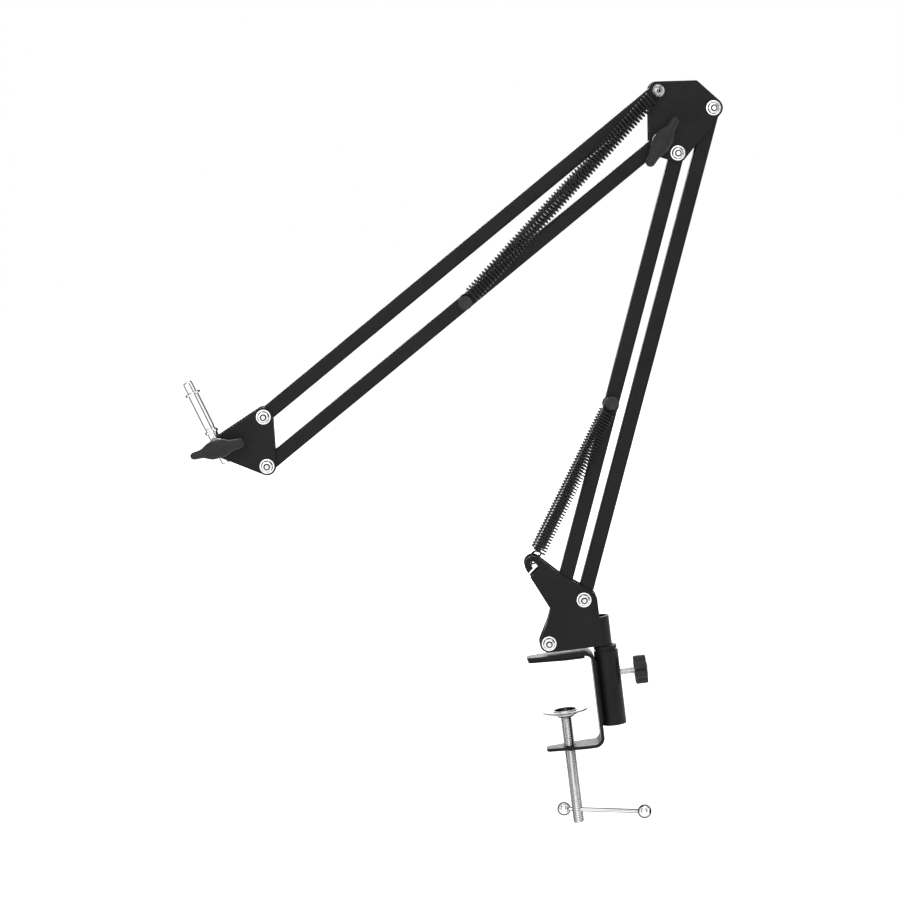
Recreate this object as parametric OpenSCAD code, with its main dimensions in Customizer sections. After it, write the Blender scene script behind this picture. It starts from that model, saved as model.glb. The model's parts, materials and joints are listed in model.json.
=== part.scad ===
/* [Arms] */
// Pivot to pivot length of every arm tube
arm_len = 350; // [300:5:400]
// Side of the square arm tube
tube_w = 10; // [9:0.5:11]
// Wall of the square arm tube
tube_wall = 1; // [0.8:0.1:1.5]
// Lean of the lower arm from vertical, to the right
lower_lean = 21.5; // [0:0.1:28]
// Drop of the upper arm below horizontal
upper_drop = 32.4; // [0:0.1:45]

/* [Brackets] */
// Thickness of the sheet in the base bracket, elbow plates and head plates
plate_t = 1.5; // [1.2:0.1:2]
// Free gap between an arm tube and each plate beside it
side_gap = 0.8; // [0.6:0.1:1.2]
// Distance between the two base pivots, and between the two they lead to
base_link = 39; // [37:0.5:41]
// Direction of the base pivots' line above horizontal
base_link_angle = 44.7; // [40:0.1:48]
// Distance between the two pivots of the upper arm at the elbow
head_link = 34.2; // [32:0.1:38]

/* [Clamp] */
// Width of the clamp strip
strip_w = 24; // [22:1:28]
// Thickness of the clamp strip
strip_t = 2.3; // [2:0.1:3]
// Free throat between the jaw pad and the lower jaw
throat = 61.5; // [57:0.1:66]
// Height of the clamp pad's rim below the jaw pad
pad_gap = 36; // [24:0.5:41]
// Outside diameter of the post socket
socket_d = 17.2; // [17:0.1:18]
// Diameter of the swivel post in its socket
post_d = 12.6; // [11:0.1:12.8]
// Outside diameter of the clamp screw thread
screw_d = 7.8; // [7:0.1:8]

/* [Springs] */
// Outside diameter of the lower spring coils
lower_coil_d = 10; // [9:0.1:10.4]
// Outside diameter of the upper spring coils
upper_coil_d = 10.4; // [9:0.1:10.6]
// Spring wire diameter
wire_d = 1.2; // [1:0.1:1.4]
// Distance of the spring bolts from the pivots of their arms
spring_bolt_at = 173; // [165:1:180]

/* [Microphone end] */
// Diameter of the spigot's plain tip
tip_d = 6.5; // [6:0.1:7]
// Diameter of the spigot rod
rod_d = 7.4; // [7:0.1:8]
// Lean of the spigot from vertical, to the left
spigot_lean = 18.8; // [0:0.1:40]

/* [Hidden] */
$fn = 64;
BLACK = "#1b1c1e";
SATIN = "#26272a";
STEEL = "#c9ccd0";
CHROME = "#dfe2e6";
NYLON = "#e9e7df";
RUBBER = "#121214";

// The frame: X to the right, Z up, Y away from the front. The clamp screw stands on the Z axis and the
// jaw pad's face is at z 0. Points are [x, z].
function dir(a) = [cos(a), sin(a)];
function turn_of(v) = atan2(v[1], v[0]);

// Pivots of the lower arm: base_low and base_high on the bracket, elbow_low and elbow_high on the elbow
base_low = [-5.6, 12.7];
base_high = base_low + base_link * dir(base_link_angle);
lower_turn = 90 - lower_lean;
elbow_low = base_low + arm_len * dir(lower_turn);
elbow_high = base_high + arm_len * dir(lower_turn);

// Pivots of the upper arm: at the elbow, then at the head
upper_turn = 180 + upper_drop;
elbow_clamp = elbow_low + [-10.6, 9.4];
head_link_angle = 86.7;
elbow_top = elbow_clamp + head_link * dir(head_link_angle);
head_low = elbow_clamp + arm_len * dir(upper_turn);
head_high = elbow_top + arm_len * dir(upper_turn);
head_clamp = head_low + [-31.6, 17.5];

// Spring ends: the notch in the base bracket and one bolt on each arm
notch_seat = [-10.2, 69.6];
lower_bolt_at = base_low + spring_bolt_at * dir(lower_turn);
upper_bolt_at = elbow_clamp + spring_bolt_at * dir(upper_turn);

// Layers across the arm, outwards from its middle plane
tube_face = tube_w / 2;
cheek_in = tube_face + side_gap;
cheek_out = cheek_in + plate_t;

// Fasteners
bolt_d = 4;
washer_d = 10.2;
washer_t = 1;
nut_af = 7;
nut_t = 3.2;
head_t = 2.8;
bolt_proud = 1;
clamp_bolt_d = 5;
clamp_head_d = 12;
clamp_head_t = 3;
slip = 0.05;
hole_room = 0.1;
sleeve_d = 6;
spacer_d = 10;
spacer_t = side_gap - 2 * slip;
tube_past = 4.2;
corner_r = 6.4;
upper_eye_gap = 0.4;
lower_eye_gap = 0.9;
eye_play = 0.2;
coil_wall = 0.3;
coil_ridge_foot = 0.2;
hook_length = 9.4;
eye_length = 6.6;

// Spring layers: the eye's middle plane and the coil's axis, from the arm's middle plane
eye_r = 4.8;
bolt_eye_r = 4.2;
upper_eye_y = cheek_out + wire_d / 2 + upper_eye_gap;
upper_coil_y = upper_eye_y + (upper_coil_d - wire_d) / 2;
lower_eye_y = tube_face + wire_d / 2 + lower_eye_gap;
lower_coil_y = lower_eye_y + (lower_coil_d - wire_d) / 2;
hook_y = (cheek_in + cheek_out) / 2;
hook_tilt = 55;
hook_r = 4;
upper_pitch = 2.64;
lower_pitch = 2.17;
collar_d = 8;
anchor_head_d = 8.5;
anchor_head_t = 2.6;
spring_head_d = 9.6;
spring_head_t = 1.6;
spring_bolt_proud = 0.6;

// Swivel post, its collar and the folded end of the base bracket
post_x = 33;
fold_x = 30.8;
fold_bottom = 6.3;
fold_top = 26.6;
socket_top = 2.1;
socket_bottom = -50.3;
post_bottom = -44;
ring_d = 14;
ring_t = 1;
flange_d = 16;
flange_bottom = socket_top + ring_t + slip;
flange_top = 5.6;
neck_d = 12;
tenon_d = 7;
tenon_top = 23;

// Clamp frame
pad_t = 1.6;
pad_inset = 0.5;
spine_x = 24.65;
jaw_reach = 22;
lower_reach = 16;
bend_r = 7;
jaw_taper = 26;
jaw_tip_w = 12;
jaw_tip_r = 3;

// Clamp screw, pad and tommy bar
screw_end = -117;
pad_d = 31.5;
pad_sheet = 1.1;
pad_depth = 5.2;
pad_slope = 1;
pad_hub_d = 11.4;
pad_cup_d = 17;
pad_cup_rise = 0.8;
pad_floor_t = 1.3;
pad_foot_t = 1.6;
screw_neck_d = 6;
peened_d = 9.4;
peened_t = 2.2;
tommy_z = -107.8;
tommy_d = 3;
tommy_turn = 35;
tommy_half = 33;
tommy_shift = 22;
ball_d = 9.6;

// Thumbscrew
thumb_z = -14.6;
stud_d = 5;
stud_end = 22;
knob_start = 18.3;
knob_w = 8.6;
knob_d = 20.8;
knob_lobes = 8;
lobe_r = 3;
lobe_turn = 15;
cap_d = 10.6;
cap_top_d = 7;
cap_t = 1.6;

// Wing knobs
wing_start = cheek_out + washer_t + slip;
wing_hub_d = 12;
wing_rise = 10.4;
wing_h = 8.2;
wing_root_r = 6.5;
wing_reach = 16;
blunt_tip_r = 3.4;
thin_tip_r = 2.7;
elbow_wing_turn = 232;
head_wing_turn = 8.6;

// Spigot lengths, along its axis from the clamp bolt
spigot_top = 49;
tip_len = 8;
stop_d = 10.8;
stop_t = 1.5;
shoulder_d = 9.6;
shoulder_top = 12;
shoulder_t = 2;
spigot_tail = 13;
eye_block_r = 7;

// ---- helpers ----

// A cylinder along +Y, from y, at the point p
module rod_y(p, y, len, d) {
    translate([p[0], y, p[1]]) rotate([-90, 0, 0]) cylinder(d = d, h = len);
}

// A hexagonal bar along +Y with a given width across its flats
module hex_y(p, y, len, af) {
    translate([p[0], y, p[1]]) rotate([-90, 0, 0]) cylinder(d = af / cos(30), h = len, $fn = 6);
}

// A ring along +Y
module ring_y(p, y, len, d, bore) {
    difference() {
        rod_y(p, y, len, d);
        rod_y(p, y - 1, len + 2, bore);
    }
}

// A flat sheet from y to y + t, with its outline in the XZ plane
module sheet(y, t) {
    translate([0, y + t, 0]) rotate([90, 0, 0]) linear_extrude(t) children();
}

// The two points where a line touches circle a and circle b, on the right of the way from a to b
function touching(a, b) =
    let (p = [a[0], a[1]], q = [b[0], b[1]])
    let (n = turn_of(q - p) - acos((a[2] - b[2]) / norm(q - p)))
    [p + a[2] * dir(n), q + b[2] * dir(n)];

// A convex outline around corner circles [x, z, radius], listed anticlockwise
module rounded(corners) {
    last = len(corners) - 1;
    polygon([for (i = [0:last]) each touching(corners[i], corners[i == last ? 0 : i + 1])]);
    for (c = corners) if (c[2] > 0) translate([c[0], c[1]]) circle(c[2]);
}

function corner(p, r) = [p[0], p[1], r];

// A slot with round ends
module slot(a, b, w) {
    rounded([corner(a, w / 2), corner(b, w / 2)]);
}

// ---- arm tubes ----

// A square tube between two pivots, drilled across at both and at an optional third place
module arm_tube(a, b, hole_a, hole_b, hole_mid = 0, mid_at = 0) {
    long = norm(b - a);
    translate([a[0], 0, a[1]]) rotate([0, -turn_of(b - a), 0]) difference() {
        translate([-tube_past, -tube_face, -tube_face]) cube([long + 2 * tube_past, tube_w, tube_w]);
        translate([-tube_past - 1, tube_wall - tube_face, tube_wall - tube_face])
            cube([long + 2 * tube_past + 2, tube_w - 2 * tube_wall, tube_w - 2 * tube_wall]);
        rod_y([0, 0], -tube_w, 2 * tube_w, hole_a);
        rod_y([long, 0], -tube_w, 2 * tube_w, hole_b);
        if (hole_mid > 0) rod_y([mid_at, 0], -tube_w, 2 * tube_w, hole_mid);
    }
}

sleeve_hole = sleeve_d + 2 * slip;
clamp_hole = clamp_bolt_d + 2 * slip;
spring_hole = bolt_d + 2 * slip;

module lower_arm_tube() color(BLACK)
    arm_tube(base_low, elbow_low, sleeve_hole, sleeve_hole, spring_hole, spring_bolt_at);

module lower_link_tube() color(BLACK)
    arm_tube(base_high, elbow_high, sleeve_hole, sleeve_hole);

module upper_arm_tube() color(BLACK)
    arm_tube(elbow_clamp, head_low, clamp_hole, sleeve_hole, spring_hole, spring_bolt_at);

module upper_link_tube() color(BLACK)
    arm_tube(elbow_top, head_high, sleeve_hole, sleeve_hole);

// ---- pivot hardware, one set for each list of pivots ----

// Hex head bolts that enter from the back
module pivot_bolts(points) {
    back = cheek_out + washer_t;
    front = cheek_out + washer_t + nut_t + bolt_proud;
    color(STEEL) for (p = points) {
        hex_y(p, back, head_t, nut_af);
        rod_y(p, -front, front + back, bolt_d);
    }
}

module pivot_nuts(points) {
    color(STEEL) for (p = points) difference() {
        hex_y(p, -cheek_out - washer_t - nut_t, nut_t, nut_af);
        rod_y(p, -cheek_out - washer_t - nut_t - 1, nut_t + 2, bolt_d + 2 * slip);
    }
}

module pivot_washers(points, d = washer_d, bolt = bolt_d) {
    color(STEEL) for (p = points, y = [-cheek_out - washer_t, cheek_out])
        ring_y(p, y, washer_t, d, bolt + hole_room);
}

// Steel sleeves that the arm tubes turn on
module pivot_sleeves(points) {
    color(STEEL) for (p = points) ring_y(p, -cheek_in, 2 * cheek_in, sleeve_d, bolt_d + hole_room);
}

// Thin nylon washers between a tube and the plates beside it
module pivot_spacers(points, bore) {
    color(NYLON) for (p = points, y = [-cheek_in + slip, tube_face + slip])
        ring_y(p, y, spacer_t, spacer_d, bore);
}

// ---- base bracket and swivel ----

cheek_high = [23.8, 39];
cheek_mid = [8.2, 59.8];
waist = [-1, 34.9];
hook_centre = [-9.7, 68.9];
hook_out_r = 6.1;
notch_lip = [-13.2, 61];
notch_mouth = [-17.4, 58.6];
notch_end = [-8, 66.4];
notch_w = 2.9;
seat_w = 3.3;
cheek_edge = [31.4, 28.4];
cheek_high_r = 7.6;

module cheek_outline() difference() {
    union() {
        rounded([corner(base_low, corner_r), corner([fold_x, fold_bottom], 0), corner(cheek_edge, 0),
            corner(cheek_high, cheek_high_r), corner(cheek_mid, 0), corner(waist, 0)]);
        rounded([corner(waist, 0), corner(cheek_mid, 0), corner(hook_centre, hook_out_r),
            corner(notch_lip, 0)]);
    }
    slot(notch_mouth, notch_end, notch_w);
    slot(notch_end, notch_seat, seat_w);
}

module base_bracket() color(BLACK) {
    fold_h = fold_top - fold_bottom;
    difference() {
        union() {
            for (y = [-cheek_out, cheek_in]) sheet(y, plate_t) cheek_outline();
            translate([fold_x, 0, fold_bottom]) difference() {
                cylinder(r = cheek_out, h = fold_h);
                translate([0, 0, -1]) cylinder(r = cheek_in, h = fold_h + 2);
                translate([-2 * cheek_out, -cheek_out - 1, -1])
                    cube([2 * cheek_out, 2 * cheek_out + 2, fold_h + 2]);
            }
        }
        for (p = [base_low, base_high]) rod_y(p, -2 * cheek_out, 4 * cheek_out, bolt_d + hole_room);
    }
}

// A turned post: pin below, flange, and a tenon that is welded inside the bracket's fold
module swivel_post() color(BLACK) {
    translate([post_x, 0, post_bottom]) cylinder(d = post_d, h = flange_bottom - post_bottom);
    translate([post_x, 0, flange_bottom]) cylinder(d = flange_d, h = flange_top - flange_bottom);
    translate([post_x, 0, flange_top]) cylinder(d = neck_d, h = fold_bottom - flange_top);
    translate([post_x, 0, fold_bottom]) cylinder(d = tenon_d, h = tenon_top - fold_bottom);
}

// The ring that the post's flange turns on
module post_ring() color(SATIN) translate([post_x, 0, socket_top]) difference() {
    cylinder(d = ring_d, h = ring_t);
    translate([0, 0, -1]) cylinder(d = post_d + 2 * slip, h = ring_t + 2);
}

base_pivots = [base_low, base_high];
module base_bolts() pivot_bolts(base_pivots);
module base_nuts() pivot_nuts(base_pivots);
module base_washers() pivot_washers(base_pivots);
module base_sleeves() pivot_sleeves(base_pivots);
module base_spacers() pivot_spacers(base_pivots, sleeve_hole);

// ---- clamp ----

// The strip's bent C, seen from the front
module strip_profile() {
    top = pad_t + strip_t;
    bottom = -throat - strip_t;
    inner_x = spine_x - strip_t;
    inner_r = bend_r - strip_t;
    translate([-jaw_reach, pad_t]) square([jaw_reach + spine_x - bend_r, strip_t]);
    translate([-lower_reach, bottom]) square([lower_reach + spine_x - bend_r, strip_t]);
    translate([inner_x, bottom + bend_r]) square([strip_t, top - bottom - 2 * bend_r]);
    for (z = [top - bend_r, bottom + bend_r]) intersection() {
        translate([spine_x - bend_r, z]) difference() {
            circle(bend_r);
            circle(inner_r);
        }
        translate([spine_x - bend_r, z > -bend_r ? z : z - bend_r]) square(bend_r);
    }
}

// A jaw seen from above: straight sides from its root, then a taper to a blunt free end
module jaw_plan(reach, root, inset = 0) {
    side = strip_w / 2 - inset;
    tip = jaw_tip_w / 2 - jaw_tip_r - inset;
    rounded([[root, -side, 0], [root, side, 0], [jaw_taper - reach, side, 0],
        [inset + jaw_tip_r - reach, tip, jaw_tip_r], [inset + jaw_tip_r - reach, -tip, jaw_tip_r],
        [jaw_taper - reach, -side, 0]]);
}

module clamp_frame() color(BLACK) difference() {
    for (half = [[jaw_reach, -throat / 2], [lower_reach, -throat * 1.5]]) intersection() {
        sheet(-strip_w / 2, strip_w) strip_profile();
        translate([0, 0, half[1]]) linear_extrude(throat) jaw_plan(half[0], post_x);
    }
    translate([0, 0, -throat - strip_t - 1]) cylinder(d = screw_d + 2 * hole_room, h = strip_t + 2);
}

// A thin anti-slip pad under the upper jaw
module jaw_pad() color(RUBBER) linear_extrude(pad_t)
    jaw_plan(jaw_reach, spine_x - bend_r, pad_inset);

// The socket is welded to the strip along a narrow flat
module post_socket() color(BLACK) difference() {
    translate([post_x, 0, socket_bottom]) cylinder(d = socket_d, h = socket_top - socket_bottom);
    translate([post_x, 0, socket_bottom - 1])
        cylinder(d = post_d + 2 * slip, h = socket_top - socket_bottom + 2);
    translate([spine_x - socket_d, -socket_d, socket_bottom - 1])
        cube([socket_d, 2 * socket_d, socket_top - socket_bottom + 2]);
    translate([post_x, 0, thumb_z]) rotate([0, 90, 0]) cylinder(d = stud_d + 2 * hole_room, h = socket_d);
}

module thumbscrew_stud() color(STEEL) translate([post_x + post_d / 2 + slip, 0, thumb_z]) rotate([0, 90, 0])
    cylinder(d = stud_d, h = stud_end - post_d / 2 - slip);

module thumbscrew_knob() color(SATIN) translate([post_x + knob_start, 0, thumb_z]) rotate([0, 90, 0])
    difference() {
        linear_extrude(knob_w) {
            circle(d = knob_d - lobe_r);
            for (i = [0:knob_lobes - 1]) rotate(lobe_turn + i * 360 / knob_lobes)
                translate([knob_d / 2 - lobe_r, 0]) circle(lobe_r);
        }
        translate([0, 0, -1]) cylinder(d = stud_d + 2 * slip, h = stud_end - knob_start + 1 + slip);
    }

// A low metal button in the knob's outer face
module thumbscrew_cap() color(STEEL) translate([post_x + knob_start + knob_w, 0, thumb_z])
    rotate([0, 90, 0]) cylinder(d1 = cap_d, d2 = cap_top_d, h = cap_t);

// Dished pad that turns freely on the screw's end: a thin brim around a shallow cup
module clamp_pad() color(CHROME) translate([0, 0, -pad_gap]) difference() {
    rotate_extrude() {
        rim = pad_d / 2;
        cup = pad_cup_d / 2;
        foot = -pad_depth + pad_foot_t;
        polygon([[0, -pad_depth], [pad_hub_d / 2, -pad_depth], [pad_hub_d / 2, foot], [cup, foot],
            [cup, -pad_slope - pad_sheet], [rim, -pad_sheet], [rim, 0], [cup, -pad_slope],
            [cup, pad_cup_rise - pad_slope], [cup - pad_sheet, pad_cup_rise - pad_slope],
            [cup - pad_sheet, foot + pad_floor_t], [0, foot + pad_floor_t]]);
    }
    translate([0, 0, -pad_depth - 1]) cylinder(d = screw_neck_d + 2 * hole_room, h = pad_depth + 1);
}

// Threaded rod with a cross hole for the tommy bar and a peened end in the pad
module clamp_screw() color(CHROME) {
    shoulder = -pad_gap - pad_depth - slip;
    floor_top = -pad_gap - pad_depth + pad_foot_t + pad_floor_t + slip;
    difference() {
        translate([0, 0, screw_end]) union() {
            cylinder(d = screw_d, h = shoulder - screw_end);
            cylinder(d = screw_neck_d, h = floor_top - screw_end);
            translate([0, 0, floor_top - screw_end])
                cylinder(d1 = peened_d, d2 = screw_neck_d, h = peened_t);
        }
        translate([0, 0, tommy_z]) rotate([0, 90, -tommy_turn])
            cylinder(d = tommy_d + 2 * slip, h = 2 * screw_d, center = true);
    }
}

module tommy_frame() translate([0, 0, tommy_z]) rotate([0, 90, -tommy_turn])
    translate([0, 0, tommy_shift]) children();

module tommy_bar() color(CHROME) tommy_frame()
    cylinder(d = tommy_d, h = 2 * tommy_half, center = true);

module tommy_balls() color(CHROME) tommy_frame() for (s = [-1, 1]) difference() {
    translate([0, 0, s * tommy_half]) sphere(d = ball_d);
    cylinder(d = tommy_d + 2 * slip, h = 2 * tommy_half + 2 * slip, center = true);
}

// ---- springs ----

// One ridge for each coil, on a thin sleeve of about the wire's mass
module coil_body(len, pitch, d) {
    crest = d / 2;
    foot = crest - wire_d + coil_wall + coil_ridge_foot;
    bore = foot - coil_ridge_foot;
    turns = round(len / pitch);
    step = len / turns;
    rotate_extrude() polygon(concat(
        [[bore, 0], [foot, 0]],
        [for (i = [0:turns - 1]) each [[crest, (i + 0.5) * step], [foot, (i + 1) * step]]],
        [[bore, len]]));
}

// A coil between two points, starting and ending short of them
module coil_between(a, b, y, lead_a, lead_b, pitch, d) {
    translate([a[0], y, a[1]]) rotate([0, 90 - turn_of(b - a), 0]) translate([0, 0, lead_a])
        coil_body(norm(b - a) - lead_a - lead_b, pitch, d);
}

module wire_ring(r) rotate_extrude() translate([r, 0]) circle(d = wire_d, $fn = 24);

module eye_at(p, y, r) translate([p[0], y, p[1]]) rotate([90, 0, 0]) wire_ring(r);

// The hook that hangs in the notch: a ring that leans across the cheek
module notch_hook(side) {
    to_bolt = turn_of(lower_bolt_at - notch_seat);
    translate([notch_seat[0], side * hook_y, notch_seat[1]]) rotate([0, 90 - to_bolt, 0])
        rotate([0, 0, side * hook_tilt]) translate([0, 0, hook_r]) rotate([90, 0, 0]) wire_ring(hook_r);
}

module lower_spring(side) color(BLACK) {
    notch_hook(side);
    coil_between(notch_seat, lower_bolt_at, side * lower_coil_y, hook_length, eye_length, lower_pitch,
        lower_coil_d);
}

module upper_spring(side) color(BLACK) {
    eye_at(elbow_top, side * upper_eye_y, eye_r);
    coil_between(elbow_top, upper_bolt_at, side * upper_coil_y, eye_length, eye_length,
        upper_pitch, upper_coil_d);
}

module lower_spring_front() lower_spring(-1);
module lower_spring_back() lower_spring(1);
module upper_spring_front() upper_spring(-1);
module upper_spring_back() upper_spring(1);

module lower_spring_eyes() color(BLACK) for (s = [-1, 1])
    eye_at(lower_bolt_at, s * lower_eye_y, bolt_eye_r);
module upper_spring_eyes() color(BLACK) for (s = [-1, 1])
    eye_at(upper_bolt_at, s * upper_eye_y, bolt_eye_r);

// A bolt through the arm tube, with a collar for each spring eye and a flat round head at the front
module spring_bolt(p, reach, d) color(SATIN) {
    rod_y(p, -reach - spring_head_t, spring_head_t, spring_head_d);
    rod_y(p, -reach, reach - tube_face, d);
    rod_y(p, -tube_face, tube_face + reach + spring_head_t + spring_bolt_proud, bolt_d);
}

// The matching nut at the back
module spring_nut(p, reach, d) color(SATIN) difference() {
    union() {
        rod_y(p, tube_face, reach - tube_face, d);
        rod_y(p, reach, spring_head_t, spring_head_d);
    }
    rod_y(p, 0, 2 * reach, bolt_d + 2 * slip);
}

lower_spring_reach = lower_eye_y + wire_d / 2 + eye_play;
upper_spring_reach = upper_eye_y + wire_d / 2 + eye_play;
spring_collar_d = 2 * bolt_eye_r - wire_d - 2 * eye_play;
module lower_spring_bolt() spring_bolt(lower_bolt_at, lower_spring_reach, spring_collar_d);
module lower_spring_nut() spring_nut(lower_bolt_at, lower_spring_reach, spring_collar_d);
module upper_spring_bolt() spring_bolt(upper_bolt_at, upper_spring_reach, spring_collar_d);
module upper_spring_nut() spring_nut(upper_bolt_at, upper_spring_reach, spring_collar_d);

// ---- elbow ----

elbow_edge = elbow_clamp + [28, 35.6];
elbow_edge_r = 2.5;
elbow_clamp_r = 8;
elbow_foot = elbow_clamp + [-1, -8.5];
elbow_foot_r = 2.4;

module elbow_outline() difference() {
    rounded([corner(elbow_low, corner_r), corner(elbow_high, corner_r), corner(elbow_edge, elbow_edge_r),
        corner(elbow_top, corner_r), corner(elbow_clamp, elbow_clamp_r),
        corner(elbow_foot, elbow_foot_r)]);
    for (p = [elbow_low, elbow_high, elbow_top]) translate(p) circle(d = bolt_d + hole_room);
    translate(elbow_clamp) circle(d = clamp_bolt_d + hole_room);
}

module elbow_plate_front() color(BLACK) sheet(-cheek_out, plate_t) elbow_outline();
module elbow_plate_back() color(BLACK) sheet(cheek_in, plate_t) elbow_outline();

elbow_pivots = [elbow_low, elbow_high];
module elbow_bolts() pivot_bolts(elbow_pivots);
module elbow_nuts() pivot_nuts(elbow_pivots);
module elbow_washers() {
    pivot_washers(elbow_pivots);
    pivot_washers([elbow_clamp], clamp_head_d, clamp_bolt_d);
}
module elbow_sleeves() pivot_sleeves(concat(elbow_pivots, [elbow_top]));
module elbow_spacers() {
    pivot_spacers(concat(elbow_pivots, [elbow_top]), sleeve_hole);
    pivot_spacers([elbow_clamp], clamp_hole);
}

// The top pivot's bolt also holds the upper springs' eyes, outside both plates
anchor_out = upper_eye_y + wire_d / 2 + eye_play;
module spring_anchor_bolt() color(STEEL) {
    rod_y(elbow_top, -anchor_out - anchor_head_t, anchor_head_t, anchor_head_d);
    rod_y(elbow_top, -anchor_out, anchor_out - cheek_out, collar_d);
    rod_y(elbow_top, -cheek_out, cheek_out + anchor_out + nut_t + bolt_proud, bolt_d);
}

module spring_anchor_nut() color(STEEL) difference() {
    union() {
        rod_y(elbow_top, cheek_out, anchor_out - cheek_out, collar_d);
        hex_y(elbow_top, anchor_out, nut_t, nut_af);
    }
    rod_y(elbow_top, 0, 4 * cheek_out, bolt_d + 2 * slip);
}

// ---- head ----

module head_outline() difference() {
    rounded([corner(head_clamp, corner_r), corner(head_low, corner_r), corner(head_high, corner_r)]);
    for (p = [head_low, head_high]) translate(p) circle(d = bolt_d + hole_room);
    translate(head_clamp) circle(d = clamp_bolt_d + hole_room);
}

module head_plate_front() color(BLACK) sheet(-cheek_out, plate_t) head_outline();
module head_plate_back() color(BLACK) sheet(cheek_in, plate_t) head_outline();

head_pivots = [head_low, head_high];
module head_bolts() pivot_bolts(head_pivots);
module head_nuts() pivot_nuts(head_pivots);
module head_washers() {
    pivot_washers(head_pivots);
    pivot_washers([head_clamp], clamp_head_d, clamp_bolt_d);
}
module head_sleeves() pivot_sleeves(head_pivots);
module head_spacers() pivot_spacers(head_pivots, sleeve_hole);

// ---- clamp bolts and wing knobs ----

// A round head bolt from the back, whose end sits in the wing knob
module clamp_bolt(p) color(STEEL) {
    back = cheek_out + washer_t;
    rod_y(p, back, clamp_head_t, clamp_head_d);
    rod_y(p, -wing_start - wing_rise, wing_start + wing_rise + back, clamp_bolt_d);
}

// A hub with a wide, thick blade across its front: one end blunt, the other thinner
module wing_knob(p, turn) color(SATIN) difference() {
    union() {
        rod_y(p, -wing_start - wing_rise, wing_rise, wing_hub_d);
        translate([p[0], -wing_start - wing_rise, p[1]]) rotate([0, -turn, 0]) rotate([90, 0, 0])
            linear_extrude(wing_h) rounded([[-wing_reach, 0, thin_tip_r], [0, 0, wing_root_r],
                [wing_reach, 0, blunt_tip_r], [0, 0, wing_root_r]]);
    }
    rod_y(p, -wing_start - wing_rise - slip, wing_rise + 2, clamp_bolt_d + 2 * slip);
}

module elbow_clamp_bolt() clamp_bolt(elbow_clamp);
module head_clamp_bolt() clamp_bolt(head_clamp);
module elbow_wing_knob() wing_knob(elbow_clamp, elbow_wing_turn);
module head_wing_knob() wing_knob(head_clamp, head_wing_turn);

// ---- spigot ----

// A turned rod with an eye across it, a shoulder, a stop collar and a plain tip
module mic_spigot() color(CHROME) difference() {
    union() {
        translate([head_clamp[0], 0, head_clamp[1]]) rotate([0, -spigot_lean, 0]) {
            translate([0, 0, -spigot_tail]) cylinder(d = rod_d, h = spigot_tail + spigot_top - tip_len);
            cylinder(d = tip_d, h = spigot_top);
            translate([0, 0, spigot_top - tip_len - stop_t]) cylinder(d = stop_d, h = stop_t);
            translate([0, 0, shoulder_top - shoulder_t]) cylinder(d = shoulder_d, h = shoulder_t);
        }
        rod_y(head_clamp, -cheek_in + 2 * slip, 2 * cheek_in - 4 * slip, 2 * eye_block_r);
    }
    rod_y(head_clamp, -2 * cheek_in, 4 * cheek_in, clamp_hole);
}

clamp_frame();
jaw_pad();
post_socket();
thumbscrew_stud();
thumbscrew_knob();
thumbscrew_cap();
clamp_pad();
clamp_screw();
tommy_bar();
tommy_balls();
swivel_post();
post_ring();
base_bracket();
base_bolts();
base_nuts();
base_washers();
base_sleeves();
base_spacers();
lower_arm_tube();
lower_link_tube();
lower_spring_bolt();
lower_spring_nut();
lower_spring_front();
lower_spring_back();
lower_spring_eyes();
elbow_plate_front();
elbow_plate_back();
elbow_bolts();
elbow_nuts();
elbow_washers();
elbow_sleeves();
elbow_spacers();
spring_anchor_bolt();
spring_anchor_nut();
elbow_clamp_bolt();
elbow_wing_knob();
upper_arm_tube();
upper_link_tube();
upper_spring_bolt();
upper_spring_nut();
upper_spring_front();
upper_spring_back();
upper_spring_eyes();
head_plate_front();
head_plate_back();
head_bolts();
head_nuts();
head_washers();
head_sleeves();
head_spacers();
head_clamp_bolt();
head_wing_knob();
mic_spigot();
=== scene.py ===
import json
import math

import bmesh
import bpy
from mathutils import Matrix, Vector, noise


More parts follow.
